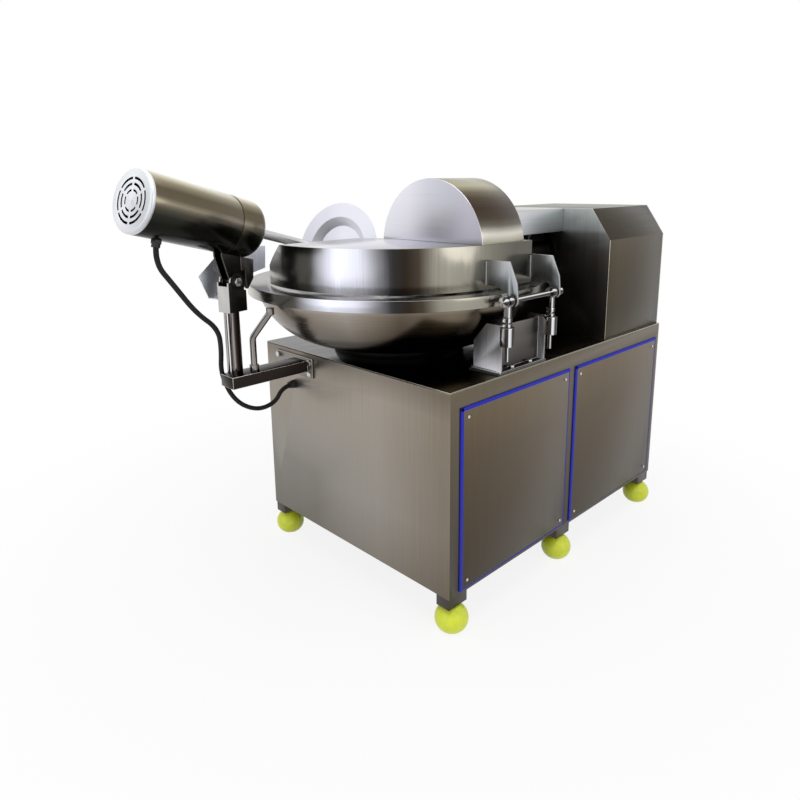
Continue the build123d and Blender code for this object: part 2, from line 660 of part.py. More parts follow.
def make_motor_pulley():
    """The pulley and the motor's own shaft turn as one."""
    shaft = along_y(PULLEY_Y - 70, PULLEY_Y + PULLEY_WIDTH, MOTOR_SHAFT_RADIUS, z=MOTOR_Z)
    return make_pulley(MOTOR_Z, MOTOR_PULLEY, MOTOR_SHAFT_RADIUS) + shaft


# ================================================================ belt housing
def belt_box_outline(inset):
    """Upright sides with two cut corners at the top."""
    x = BELT_BOX_HALF - inset
    xt = BELT_BOX_HALF - BELT_BOX_CUT_X - inset * 0.5
    top = BELT_BOX_TOP - inset
    shoulder = BELT_BOX_TOP - BELT_BOX_CUT_Z - inset * 0.3
    points = [(x, CABINET_TOP), (x, shoulder), (xt, top), (-xt, top), (-x, shoulder), (-x, CABINET_TOP)]
    return [(SPINDLE_X + px, pz) for px, pz in points]


def make_belt_housing():
    shell = plate_xz(belt_box_outline(0), BELT_BOX_FRONT, BELT_BOX_REAR)
    shell -= plate_xz(belt_box_outline(SHEET), BELT_BOX_FRONT + SHEET, BELT_BOX_REAR)
    return shell - along_y(BELT_BOX_FRONT, BELT_BOX_FRONT + SHEET, HOUSING_RADIUS)


def make_belt_cover():
    return plate_xz(belt_box_outline(0), BELT_BOX_REAR, BELT_BOX_REAR + SHEET)


def make_cover_knobs():
    knobs = []
    places = [(SPINDLE_X + side * (BELT_BOX_HALF - 40), z, BELT_BOX_REAR + SHEET)
              for side in (-1, 1) for z in (BELT_BOX_TOP - 142, CABINET_TOP + 60)]
    places += [(side * (HALF_W - 40), z, HALF_D)
               for side in (-1, 1) for z in (CABINET_TOP - 110, SKIRT_BOTTOM + 172)]
    for x, z, y in places:
        knob = along_y(y, y + KNOB_LENGTH, KNOB_RADIUS, x, z)
        knobs.append(chamfer(knob.faces().sort_by(Axis.Y)[-1].edges(), 2))
    return Compound(knobs)


def make_bridge_cover():
    """Square tube over the spindle housing, closed at its front end."""
    x0, x1 = SPINDLE_X - BRIDGE_HALF, SPINDLE_X + BRIDGE_HALF
    t = BRIDGE_SHEET
    cover = block(x0, x1, BRIDGE_FRONT, BELT_BOX_FRONT, BRIDGE_BOTTOM, BELT_BOX_TOP)
    return cover - block(x0 + t, x1 - t, BRIDGE_FRONT + t, BELT_BOX_FRONT,
                         BRIDGE_BOTTOM + t, BELT_BOX_TOP - t)


def make_lid_sensors():
    """Two sensors under the bridge that feel the lid and the arm."""
    x = SPINDLE_X + BRIDGE_HALF - 16
    sensors = []
    for y in (-150, 20):
        sensors.append(upright(x, y, BRIDGE_BOTTOM - 42, BRIDGE_BOTTOM - 6, 6)
                       + upright(x, y, BRIDGE_BOTTOM - 6, BRIDGE_BOTTOM, 11))
    return Compound(sensors)


# ================================================================ lid
def lid_plan(inset):
    """The lid's outline from above: round in front, with straight right and rear edges."""
    r = LID_RADIUS - inset
    disc = Pos(BOWL_X, BOWL_Y) * Circle(r)
    disc += make_face(Polyline((BOWL_X, BOWL_Y), (BOWL_X + r, BOWL_Y), (BOWL_X + r, 0),
                               (BOWL_X, 0), close=True))
    (xa, ya), (xb, yb) = LID_NOTCH
    rear, wing = LID_REAR - inset, LID_WING_REAR - inset
    keep = make_face(Polyline(
        (xa, -1000), (xa, ya), (xb, yb), (xb, rear), (LID_WING_X + inset, rear),
        (LID_WING_X + inset, wing), (600, wing), (600, -1000), close=True))
    return disc & keep


def lid_side(inset):
    """The lid's outline from the front: its left part slopes down."""
    top = LID_TOP - inset
    low = LID_LEFT_TOP - inset
    return make_face(Polyline(
        (LID_LEFT - 1, LID_BOTTOM - 5), (LID_LEFT - 1, low), (LID_LEFT, low),
        (LID_LEFT_TURN, top), (600, top), (600, LID_BOTTOM - 5), close=True))


def lid_solid(inset):
    up = Pos(0, 0, LID_BOTTOM) * extrude(lid_plan(inset), LID_TOP - LID_BOTTOM)
    across = Pos(0, 0, 0) * extrude(Plane.XZ * lid_side(inset), 1000)
    return up & across


def make_lid_shell():
    """Sheet lid, open below and on its left and rear sides, with a splash curtain."""
    t = SHEET
    outer = lid_solid(0)
    room = upright(BOWL_X, BOWL_Y, LID_BOTTOM - 5, LID_TOP, LID_RADIUS - t)
    room += block(BOWL_X, BOWL_X + LID_RADIUS - t, BOWL_Y, 0, LID_BOTTOM - 5, LID_TOP)
    under = extrude(Plane.XZ * lid_side(t), 1000)
    shell = outer - (room & under)
    (xa, ya), (xb, yb) = LID_NOTCH
    curtain = block(xb, xb + t, yb, LID_REAR, LID_BOTTOM + 33, LID_TOP)
    shell += curtain
    dome_room = along_y(DOME_FRONT + t, LID_REAR - t, DOME_RADIUS - t, z=DOME_CENTRE_Z)
    return shell - (dome_room & block(-600, 600, -900, 0, LID_BOTTOM, LID_TOP + 1))


def make_knife_dome():
    """Round cover over the knives; its rear wall has a slot for the spindle."""
    t = SHEET
    above = block(-600, 600, -900, 0, LID_TOP, LID_TOP + 400)
    dome = along_y(DOME_FRONT, LID_REAR, DOME_RADIUS, z=DOME_CENTRE_Z) & above
    dome -= along_y(DOME_FRONT + t, LID_REAR - t, DOME_RADIUS - t, z=DOME_CENTRE_Z)
    wall = along_y(LID_REAR - t, LID_REAR, DOME_RADIUS - t, z=DOME_CENTRE_Z)
    wall &= block(-600, 600, -900, 0, LID_BOTTOM + 13, LID_TOP - t)
    slot = block(SPINDLE_X - SPINDLE_SLOT, SPINDLE_X + SPINDLE_SLOT, LID_REAR - t, LID_REAR,
                 LID_BOTTOM, SPINDLE_Z)
    slot += along_y(LID_REAR - t, LID_REAR, SPINDLE_SLOT)
    return dome + wall - slot


def hinge_outline(left):
    """Hinge plate in X and Z: a flat on the lid and a nose round the pin."""
    top, low = LID_TOP - 44, HINGE_Z + 38
    x = HINGE_X
    return [(left, top), (x - 13, top), (x + 15, HINGE_Z + 52), (x + 20, HINGE_Z), (x, HINGE_Z - 20),
            (x - 20, HINGE_Z), (x - 20, HINGE_Z + 24), (x - 69, low), (left, low)]


def make_hinge_plate(left, y):
    plate = plate_xz(hinge_outline(left), y, y + HINGE_PLATE)
    plate += along_y(y, y + HINGE_PLATE, 20, HINGE_X, HINGE_Z)
    plate -= along_y(y, y + HINGE_PLATE, PIN_RADIUS, HINGE_X, HINGE_Z)
    return plate - lid_solid(0) - make_lid_shell()


def make_hinge_pin():
    pin = along_y(PIN_FRONT, PIN_REAR, PIN_RADIUS, HINGE_X, HINGE_Z)
    head = along_y(PIN_FRONT, PIN_FRONT + 12, PIN_HEAD, HINGE_X, HINGE_Z)
    head = fillet(head.faces().sort_by(Axis.Y)[0].edges(), 3)
    return pin + head + along_y(PIN_REAR - 14, PIN_REAR - 2, PIN_HEAD - 3, HINGE_X, HINGE_Z)


def make_hinge_eyes():
    """Eye screws: a ring round the pin on a shank that screws down through a sleeve."""
    eyes = []
    for y in (EYE_FRONT, EYE_REAR):
        half = EYE_WIDTH / 2
        eye = along_y(y - half, y + half, EYE_RADIUS, HINGE_X, HINGE_Z)
        eye += upright(HINGE_X, y, SLEEVE_TOP + 30, HINGE_Z, EYE_SHANK) & block(
            HINGE_X - 30, HINGE_X + 30, y - half, y + half, SLEEVE_TOP, HINGE_Z)
        eye += upright(HINGE_X, y, THREAD_BOTTOM, HINGE_Z - EYE_RADIUS, THREAD_RADIUS)
        eyes.append(eye - along_y(y - half, y + half, PIN_RADIUS + RUNNING, HINGE_X, HINGE_Z))
    return Compound(eyes)


def make_eye_nuts():
    nuts = []
    for y in (EYE_FRONT, EYE_REAR):
        for z0, z1 in ((SLEEVE_TOP + 16, SLEEVE_TOP + 29), (SLEEVE_TOP, SLEEVE_TOP + 11)):
            hole = upright(HINGE_X, y, z0, z1, THREAD_RADIUS)
            nuts.append(hexagon(HINGE_X, y, z0, z1, EYE_NUT_FLATS) - hole)
    return Compound(nuts)


def make_hinge_bracket():
    """Sheet bracket on the deck: two gusset plates, a side plate, a foot and two sleeves."""
    z0 = CABINET_TOP + BRACKET_GASKET
    t = BRACKET_PLATE
    inner, outer = HINGE_X - BRACKET_REACH, HINGE_X - 17
    top = SLEEVE_TOP + 2
    outline = [(inner, z0), (inner, top - 60), (inner + 50, top), (outer, top), (outer, z0)]
    bracket = plate_xz(outline, BRACKET_FRONT, BRACKET_FRONT + t)
    bracket += plate_xz(outline, BRACKET_REAR, BRACKET_REAR + t)
    bracket += block(outer - 32, outer - 26, BRACKET_FRONT + t, BRACKET_REAR, z0, top - 8)
    bracket += block(inner - 5, outer, BRACKET_FRONT - 4, BRACKET_REAR + t + 4, z0, z0 + t)
    for y in (EYE_FRONT, EYE_REAR):
        bracket += upright(HINGE_X, y, SLEEVE_BOTTOM, SLEEVE_TOP, SLEEVE_RADIUS)
        bracket -= upright(HINGE_X, y, SLEEVE_BOTTOM, SLEEVE_TOP, THREAD_RADIUS)
    return bracket


def make_bracket_gasket():
    inner, outer = HINGE_X - BRACKET_REACH, HINGE_X - 17
    return block(inner - 10, outer - 2, BRACKET_FRONT - 9, BRACKET_REAR + BRACKET_PLATE + 9,
                 CABINET_TOP, CABINET_TOP + BRACKET_GASKET)


# ================================================================ unloading arm
def arm_plane():
    """Across the arm's axis, just behind the post: x right, y down, z along the arm."""
    heading, slope = radians(ARM_HEADING), radians(ARM_SLOPE)
    along = (-sin(heading) * cos(slope), cos(heading) * cos(slope), -sin(slope))
    across = (cos(heading), sin(heading), 0)
    return Plane(origin=(ARM_X, POST_Y + ARM_SET_BACK, ARM_AXIS_Z), x_dir=across, z_dir=along)


def arm_rod(a, b, radius):
    plane = arm_plane()
    return extrude(plane.offset(a) * Circle(radius), b - a)


def arm_tube(a, b, radius, bore):
    return arm_rod(a, b, radius) - arm_rod(a, b, bore)


def turned(shape):
    """Set a shape drawn about the post's own axes to the arm's heading."""
    return Pos(ARM_X, POST_Y, 0) * Rot(0, 0, ARM_HEADING) * shape


def side_plate(points, x0, x1):
    """A plate from its outline in the post's own Y and Z, between two X."""
    outline = Plane.YZ * make_face(Polyline(*points, close=True))
    return Pos(x0, 0, 0) * extrude(outline, x1 - x0)


def make_arm_bar():
    half = BAR_WIDTH / 2
    x0, x1, z0 = ARM_X - half, ARM_X + half, BAR_TOP - BAR_HEIGHT
    y1 = -HALF_D - FLANGE_PLATE
    bar = block(x0, x1, BAR_END, y1, z0, BAR_TOP)
    bar -= block(x0 + BAR_WALL, x1 - BAR_WALL, BAR_END + BAR_WALL, y1, z0 + BAR_WALL,
                 BAR_TOP - BAR_WALL)
    fx0, fx1, fz0, fz1 = FLANGE
    return bar + block(fx0, fx1, y1, -HALF_D, fz0, fz1)


def make_arm_post():
    """Round post with a thin rod beside it and a clevis on top."""
    post = upright(0, 0, BAR_TOP, CLEVIS_BOTTOM, POST_RADIUS)
    x, y, radius = GUIDE_ROD
    post += upright(x, y, BAR_TOP, CLEVIS_BOTTOM, radius)
    half, deep = CLEVIS_WIDTH / 2, CLEVIS_DEPTH / 2
    post += block(-half, half, -deep, deep, CLEVIS_BOTTOM, CLEVIS_BOTTOM + 8)
    for x0, x1 in ((-half, -half + CLEVIS_PLATE), (half - CLEVIS_PLATE, half)):
        side = block(x0, x1, -deep, deep, CLEVIS_BOTTOM, PIVOT_Z)
        post += side + rod((x0, 0, PIVOT_Z), (x1, 0, PIVOT_Z), CLEVIS_ROUND)
    post -= block(-half, half, CLEVIS_ROUND, deep, PIVOT_Z - 30, PIVOT_Z)
    post += block(-half, half, -deep, -deep + CLEVIS_PLATE, CLEVIS_BOTTOM, CLEVIS_WEB_TOP)
    return turned(post - rod((-half, 0, PIVOT_Z), (half, 0, PIVOT_Z), PIVOT_RADIUS))


def make_pivot_bolt():
    half = CLEVIS_WIDTH / 2
    bolt = rod((-half - 14, 0, PIVOT_Z), (half + 4, 0, PIVOT_Z), PIVOT_RADIUS)
    for x0, x1 in ((half, half + 9), (-half - 9, -half)):
        head = extrude(Plane.YZ * RegularPolygon(13, 6, major_radius=False), x1 - x0)
        bolt += Pos(x0, 0, PIVOT_Z) * head
    return turned(bolt)


def make_unloader_fork():
    """Two cheek plates from the pivot up to the motor tube, joined by a rear web."""
    half = CLEVIS_WIDTH / 2 - CLEVIS_PLATE - FORK_GAP
    top = ARM_AXIS_Z
    z = PIVOT_Z
    tail = [(79, z + 75), (74, z + 3), (50, z - 28), (43, z - 28)]
    cheek = [(-24, z + 8), (-48, z + 84), (-48, top), (79, top), *tail, (24, z - 4)]
    doubler = [(26, top), (79, top), *tail, (43, z + 34), (26, z + 34)]
    fork = None
    for x0, x1 in ((-half, -half + FORK_PLATE), (half - FORK_PLATE, half)):
        plate = side_plate(cheek, x0, x1) + rod((x0, 0, PIVOT_Z), (x1, 0, PIVOT_Z), FORK_ROUND)
        fork = plate if fork is None else fork + plate
    fork += side_plate(doubler, half, half + FORK_DOUBLER)
    fork += block(-half, half, 62, 67, z + 10, top)
    fork -= rod((-half, 0, PIVOT_Z), (half, 0, PIVOT_Z), PIVOT_RADIUS + RUNNING)
    return turned(fork) - arm_rod(TUBE_START, COLLAR_END + 80, TUBE_RADIUS + COLLAR_PROUD)


def make_motor_tube():
    tube = arm_tube(TUBE_START, TUBE_SEAM, TUBE_RADIUS, TUBE_RADIUS - TUBE_WALL)
    return tube - gland_hole()


def gland_hole():
    plane = arm_plane().offset(GLAND_PLACE)
    hole = Plane(origin=plane.origin, x_dir=plane.x_dir, z_dir=plane.y_dir)
    return extrude(hole * Circle(CABLE_RADIUS), TUBE_RADIUS + 5)


def make_cable_gland(origin, direction):
    """Hexagon body and round nut round the cable, standing on a sheet."""
    plane = Plane(origin=origin, z_dir=direction)
    body = extrude(plane * RegularPolygon(GLAND_RADIUS, 6, major_radius=False), GLAND_LENGTH / 2)
    body += extrude(plane * Circle(GLAND_RADIUS - 1.5), GLAND_LENGTH)
    return body - extrude(plane * Circle(CABLE_RADIUS), GLAND_LENGTH)


def gland_foot():
    """The point on the tube's lower side where its cable leaves."""
    plane = arm_plane().offset(GLAND_PLACE)
    return plane.origin + plane.y_dir * (TUBE_RADIUS - 1), plane.y_dir


def make_motor_gland():
    origin, direction = gland_foot()
    return make_cable_gland(origin, direction) - arm_rod(TUBE_START, TUBE_SEAM, TUBE_RADIUS)


def fan_slot(r0, r1, turn):
    """One curved slot; the metal left between two slots keeps the same width."""
    ring = Circle(r1) - Circle(r0)
    step = 360 / FAN_SLOTS
    edges = [Rot(0, 0, turn + side * step / 2) * Pos(r1 / 2, 0) * Rectangle(r1, FAN_BRIDGE)
             for side in (-1, 1)]
    reach_far = 2 * r1
    a, b = radians(turn - step / 2), radians(turn + step / 2)
    wedge = make_face(Polyline((0, 0), (reach_far * cos(a), reach_far * sin(a)),
                               (reach_far * cos(b), reach_far * sin(b)), close=True))
    return (ring & wedge) - edges[0] - edges[1]


def make_vent_cap():
    """Domed end cap with three rings of curved slots."""
    plane = arm_plane().offset(TUBE_START)
    cap = extrude(Circle(TUBE_RADIUS), -CAP_DEPTH)
    cap = fillet(cap.faces().sort_by(Axis.Z)[0].edges(), 9)
    cap -= extrude(Circle(TUBE_RADIUS - 6), -CAP_DEPTH + 4)
    slots = Sketch()
    for r0, r1 in FAN_RINGS:
        for i in range(FAN_SLOTS):
            slots += fan_slot(r0, r1, i * 360 / FAN_SLOTS)
    cap -= extrude(slots, -CAP_DEPTH)
    return plane.location * cap


def make_gearbox_collar():
    """Gearbox housing at the end of the tube, with a sleeve for the disc's shaft."""
    r = TUBE_RADIUS + COLLAR_PROUD
    collar = arm_rod(TUBE_SEAM, COLLAR_END, r)
    end = collar.edges().filter_by(GeomType.CIRCLE).sort_by(lambda e: e.center().Z)[0]
    collar = fillet(end, COLLAR_FILLET)
    return collar - arm_rod(TUBE_SEAM, COLLAR_END, ARM_SHAFT_RADIUS + RUNNING)


def make_arm_motor():
    """Motor inside the tube, carried by three ribs."""
    motor = arm_rod(TUBE_START + 60, TUBE_SEAM, ARM_MOTOR_RADIUS)
    for a in (TUBE_START + 90, TUBE_SEAM - 60):
        motor += arm_rod(a, a + 20, TUBE_RADIUS - TUBE_WALL)
    return motor - arm_rod(TUBE_SEAM - 30, TUBE_SEAM, ARM_SHAFT_RADIUS + RUNNING)


def make_arm_shaft():
    return arm_rod(TUBE_SEAM - 28, DISC_PLACE + 12, ARM_SHAFT_RADIUS)


def make_disc():
    """Dished disc: a flat edge ring and a hollow middle on a hub."""
    r, s, d = DISC_RADIUS, DISC_SHEET, DISC_DISH
    r1, r2 = DISC_DISH_RADIUS, DISC_DISH_RADIUS - 30
    hub = ARM_SHAFT_RADIUS + 14
    points = [(ARM_SHAFT_RADIUS, d - 20), (hub, d - 20), (hub, d), (r2, d), (r1, 0), (r, 0), (r, s),
              (r1, s), (r2, d + s), (ARM_SHAFT_RADIUS, d + s)]
    face = Plane.XZ * make_face(Polyline(*points, close=True))
    disc = revolve(face, Axis.Z)
    return arm_plane().offset(DISC_PLACE - d).location * disc


def make_discharge_chute():
    """Folded sheet that hangs from the arm behind the fork and guides the meat out."""
    t = 2.5
    z = PIVOT_Z
    left = -CHUTE_REACH
    outline = [(-53, z + 15), (-18, z - 63), (16, z - 52), (181, z + 2), (237, z + 12),
               (241, z + 74), (241, z + 90), (44, z + 90)]
    lip = [(-18, z - 63), (62, z - 37), (62, z - 34), (-18, z - 60)]
    chute = side_plate(outline, left, left + t) + side_plate(lip, left, left + 46)
    chute += block(left, -CLEVIS_WIDTH / 2 + CLEVIS_PLATE + FORK_GAP, 28, 40, z + 16, z + 30)
    return turned(chute)


def make_rim_steady():
    """Bent rod in a socket on the bar; its pad runs close under the bowl's rim."""
    (x0, y0, z0), (x1, y1, z1) = STAY_FOOT, STAY_TOP
    route = FilletPolyline(STAY_FOOT, STAY_BEND, STAY_TOP, radius=30)
    stay = sweep(Plane(origin=STAY_FOOT) * Circle(STAY_RADIUS), route)
    stay += upright(x0, y0, z0, z0 + STAY_SOCKET_HEIGHT, STAY_SOCKET)
    return stay + upright(x1, y1, z1 - 8, z1 + 14, STAY_RADIUS + 2)


# ================================================================ bolts
def hex_along(point, direction, flats, height):
    plane = Plane(origin=point, z_dir=direction)
    return extrude(plane * RegularPolygon(flats / 2, 6, major_radius=False), height)


def make_mounting_bolts():
    """Heads of the bolts that hold the arm's flange and the hinge bracket."""
    fx0, fx1, fz0, fz1 = FLANGE
    bolts = []
    for x in (fx0 + 16, fx1 - 12.5):
        for z in (fz0 + 15, fz1 - 15):
            bolts.append(hex_along((x, -HALF_D - FLANGE_PLATE, z), (0, -1, 0), 19, 8))
    z = CABINET_TOP + BRACKET_GASKET + BRACKET_PLATE
    for y in (BRACKET_FRONT + 69, BRACKET_REAR - 63):
        bolts.append(hex_along((HINGE_X - 30, y, z), (0, 0, 1), 17, 8))
    return Compound(bolts)


# ================================================================ cable
def cable_points():
    """Route from the motor's gland, down past the post, back to the cabinet."""
    origin, direction = gland_foot()
    post = Vector(ARM_X, POST_Y, BAR_TOP)
    before, after = post + Vector(34, -77, 170), post + Vector(-44, -28, 82)
    split = (before + after) / 2
    upper = [origin, origin + direction * 62, post + Vector(66, -223, 325),
             post + Vector(50, -155, 234), before, split]
    gland = Vector(*CABINET_GLAND)
    lower = [split, after, post + Vector(-82, -17, -16), post + Vector(-98, 37, -128),
             gland + Vector(-10, -158, -66), gland + Vector(-6, -80, -55), gland + Vector(0, -50, 0),
             gland]
    return upper, lower


def bend_radii(points):
    radii = []
    for a, b, c in zip(points, points[1:], points[2:]):
        u, v = (b - a), (c - b)
        half = radians(u.get_angle(v)) / 2
        radii.append(0.45 * min(u.length, v.length) / max(tan(half), 0.02))
    return radii


def make_cable(points):
    radii = bend_radii(points)
    route = FilletPolyline(*points, radius=radii)
    start = Plane(origin=route @ 0, z_dir=route % 0)
    return sweep(start * Circle(CABLE_RADIUS), route)


# ================================================================ output
def build_nodes():
    upper, lower = cable_points()
    openings = service_openings()
    nodes = {
        "cabinet_frame": make_cabinet_frame(),
        "top_plate": make_deck(),
        "front_panel": make_front_panel(),
        "left_panel": make_left_panel(),
        "rear_panel": make_rear_panel(),
        "right_side_frame": make_right_frame(),
        "service_panel_front": make_service_panel(openings[0]),
        "service_panel_rear": make_service_panel(openings[1]),
        "panel_seals": make_panel_seals(),
        "panel_screws": make_panel_screws(),
        "levelling_feet": make_feet(),
        "bowl": make_bowl(),
        "bowl_skirt": make_bowl_skirt(),
        "bowl_shaft": make_bowl_shaft(),
        "bowl_pedestal": make_pedestal(),
        "bowl_bearings": make_bowl_bearings(),
        "bowl_gearmotor": make_bowl_gearmotor(),
        "motor_base": make_motor_base(),
        "blade_motor": make_blade_motor(),
        "motor_pulley": make_motor_pulley(),
        "spindle_pulley": make_pulley(SPINDLE_Z, SPINDLE_PULLEY, SPINDLE_RADIUS),
        "drive_belts": make_drive_belts(),
        "knife_shaft": make_knife_shaft(),
        "knife_pair_front": make_knife_pair(0),
        "knife_pair_middle": make_knife_pair(1),
        "knife_pair_rear": make_knife_pair(2),
        "knife_nut": make_knife_nut(),
        "spindle_housing": make_spindle_housing(),
        "spindle_bearings": make_spindle_bearings(),
        "belt_housing": make_belt_housing(),
        "belt_housing_cover": make_belt_cover(),
        "cover_knobs": make_cover_knobs(),
        "bridge_cover": make_bridge_cover(),
        "lid_sensors": make_lid_sensors(),
        "lid_shell": make_lid_shell(),
        "knife_dome": make_knife_dome(),
        "hinge_plate_front": make_hinge_plate(HINGE_X - 101, HINGE_PLATE_FRONT),
        "hinge_plate_rear": make_hinge_plate(HINGE_X - 127, HINGE_PLATE_REAR),
        "hinge_pin": make_hinge_pin(),
        "hinge_eyes": make_hinge_eyes(),
        "eye_nuts": make_eye_nuts(),
        "hinge_bracket": make_hinge_bracket(),
        "bracket_gasket": make_bracket_gasket(),
        "mounting_bolts": make_mounting_bolts(),
        "arm_bar": make_arm_bar(),
        "arm_post": make_arm_post(),
        "pivot_bolt": make_pivot_bolt(),
        "unloader_fork": make_unloader_fork(),
        "motor_tube": make_motor_tube(),
        "vent_cap": make_vent_cap(),
        "gearbox_collar": make_gearbox_collar(),
        "unloader_motor": make_arm_motor(),
        "motor_cable_gland": make_motor_gland(),
        "unloader_shaft": make_arm_shaft(),
        "unloader_disc": make_disc(),
        "discharge_chute": make_discharge_chute(),
        "rim_steady": make_rim_steady(),
        "cabinet_cable_gland": make_cable_gland(CABINET_GLAND, (0, -1, 0)),
        "cable_upper": make_cable(upper),
        "cable_lower": make_cable(lower),
    }
    return nodes


def row_shift(nodes):
    """Move that puts the middle of the whole outer box over the origin."""
    boxes = [shape.bounding_box() for shape in nodes.values()]
    low = [min(getattr(b.min, k) for b in boxes) for k in "XYZ"]
    high = [max(getattr(b.max, k) for b in boxes) for k in "XYZ"]
    return Vector(-(low[0] + high[0]) / 2, -(low[1] + high[1]) / 2, -low[2])


if __name__ == "__main__":
    os.makedirs("parts", exist_ok=True)
    made = build_nodes()
    shift = row_shift(made)
    for name, shape in made.items():
        solid = Pos(*shift) * shape
        solid.label = name
        export_step(solid, f"parts/{name}.step")
    print("shift", [round(v, 3) for v in shift])
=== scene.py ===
"""Bowl cutter for meat, dressed over its CAD frame.  Metres, +Z up, -Y is the operator's side."""
import json
import math

import bmesh
import bpy
from mathutils import Matrix, Vector


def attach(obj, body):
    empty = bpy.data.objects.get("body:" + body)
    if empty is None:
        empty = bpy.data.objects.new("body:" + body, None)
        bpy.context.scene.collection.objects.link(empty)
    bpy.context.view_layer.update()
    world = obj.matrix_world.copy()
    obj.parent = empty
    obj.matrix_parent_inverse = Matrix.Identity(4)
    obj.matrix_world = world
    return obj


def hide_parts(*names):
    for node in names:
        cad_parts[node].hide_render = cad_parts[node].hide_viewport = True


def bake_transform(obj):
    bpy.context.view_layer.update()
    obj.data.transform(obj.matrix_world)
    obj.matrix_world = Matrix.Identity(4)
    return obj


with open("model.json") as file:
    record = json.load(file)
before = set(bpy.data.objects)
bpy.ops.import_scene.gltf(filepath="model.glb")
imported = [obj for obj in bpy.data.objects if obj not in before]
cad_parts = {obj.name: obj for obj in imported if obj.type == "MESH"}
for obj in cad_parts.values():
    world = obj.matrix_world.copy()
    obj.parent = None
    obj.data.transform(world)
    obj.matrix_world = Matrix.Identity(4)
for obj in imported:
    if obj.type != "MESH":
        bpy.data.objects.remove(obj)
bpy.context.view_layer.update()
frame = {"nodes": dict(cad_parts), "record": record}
nodes = frame["nodes"]
BODY_OF = {node: body
           for body, members in frame["record"]["behaviour"]["bodies"].items() for node in members}

# ---------------------------------------------------------------- viewpoint
# The machine is seen from its front right corner, from a little above the bowl's rim.  Sizes below
# are laid out from the middle of the cabinet's footprint, and this moves them into the row's frame.
FOOTPRINT = Vector((0.056, 0.298449, 0.0))


def at(x, y, z):
    """A place given in millimetres from the middle of the cabinet's footprint."""
    return FOOTPRINT + Vector((x, y, z)) / 1000


eye = bpy.data.cameras.new("viewpoint")
eye.sensor_width = 36
eye.lens = 29.75
eye.shift_y = -0.0875
eye.clip_end = 120
camera = bpy.data.objects.new("viewpoint", eye)
bpy.context.scene.collection.objects.link(camera)
RIGHT = Vector((0.6970656, 0.7169170, -0.0113839))
DOWN = Vector((0.1487681, -0.1601437, -0.9758186))
FORWARD = Vector((-0.7014040, 0.6785161, -0.2182851))
turn = Matrix((RIGHT, -DOWN, -FORWARD)).transposed().to_4x4()
camera.matrix_world = Matrix.Translation(at(1649.4, -1994.8, 1374.6)) @ turn
bpy.context.scene.camera = camera
bpy.context.scene.view_settings.view_transform = "Standard"


# ---------------------------------------------------------------- motor cable
# Black rubber cable that feeds the unloading motor.  It hangs from a gland under the motor tube,
# passes in front of the post and goes back into the cabinet through a second gland.
def linear(hex_colour, alpha=1.0):
    """sRGB hex colour as linear RGBA."""
    values = [int(hex_colour[i:i + 2], 16) / 255 for i in (1, 3, 5)]
    return [v / 12.92 if v <= 0.04045 else ((v + 0.055) / 1.055) ** 2.4 for v in values] + [alpha]


def add_node(tree, kind, links=None, **settings):
    """One shader node; links go to its inputs, the rest are its settings or input values."""
    node = tree.nodes.new(kind)
    for key, value in settings.items():
        if hasattr(node, key):
            setattr(node, key, value)
        else:
            node.inputs[key.replace("_", " ")].default_value = value
    for key, socket in (links or {}).items():
        if hasattr(socket, "links"):
            tree.links.new(socket, node.inputs[key])
        else:
            node.inputs[key].default_value = socket
    return node


def new_material(name):
    """A material with one empty Principled shader; returns it with its tree and shader."""
    made = bpy.data.materials.new(name)
    made.use_nodes = True
    tree = made.node_tree
    tree.nodes.clear()
    shader = add_node(tree, "ShaderNodeBsdfPrincipled")
    add_node(tree, "ShaderNodeOutputMaterial", {0: shader.outputs[0]})
    return made, tree, shader


NOISE_PATCH = 6        # one unit of Blender's noise holds about this many grains


def rubber(name, colour, grain_mm=1.2, rough=0.48):
    """Moulded rubber or soft plastic: dull, with a fine uneven skin."""
    made, tree, shader = new_material(name)
    where = add_node(tree, "ShaderNodeTexCoord")
    skin = add_node(tree, "ShaderNodeTexNoise", {"Vector": where.outputs["Object"]},
                    Scale=1000 / grain_mm / NOISE_PATCH, Detail=4.0)
    full = linear(colour)
    tone = add_node(tree, "ShaderNodeMix", {0: skin.outputs[0]}, data_type="RGBA")
    tone.inputs[6].default_value = [c * 0.85 for c in full[:3]] + [1]
    tone.inputs[7].default_value = [min(1, c * 1.2 + 0.002) for c in full[:3]] + [1]
    tree.links.new(tone.outputs[2], shader.inputs["Base Color"])
    bump = add_node(tree, "ShaderNodeBump", {"Height": skin.outputs[0]}, Strength=0.12, Distance=0.0004)
    tree.links.new(bump.outputs[0], shader.inputs["Normal"])
    shader.inputs["Roughness"].default_value = rough
    return made


# Extruded rubber jacket: black and quite dull, with only a broad soft sheen.
cable_rubber = rubber("rubber_cable_jacket", "#060606", rough=0.8)
CABLE_DIAMETER = 0.016
CABLE_JOIN = (-245, -970.5, 888)
UPPER_ROUTE = [(-189.6, -1174.9, 1222), (-186.8, -1190.2, 1162), (-174, -1141, 1087),
               (-190, -1073, 996), (-206, -995, 932), CABLE_JOIN]
LOWER_ROUTE = [CABLE_JOIN, (-284, -946, 844), (-322, -935, 746), (-338, -881, 634),
               (-310, -813, 589), (-306, -735, 600), (-300, -705, 655), (-300, -655, 655)]


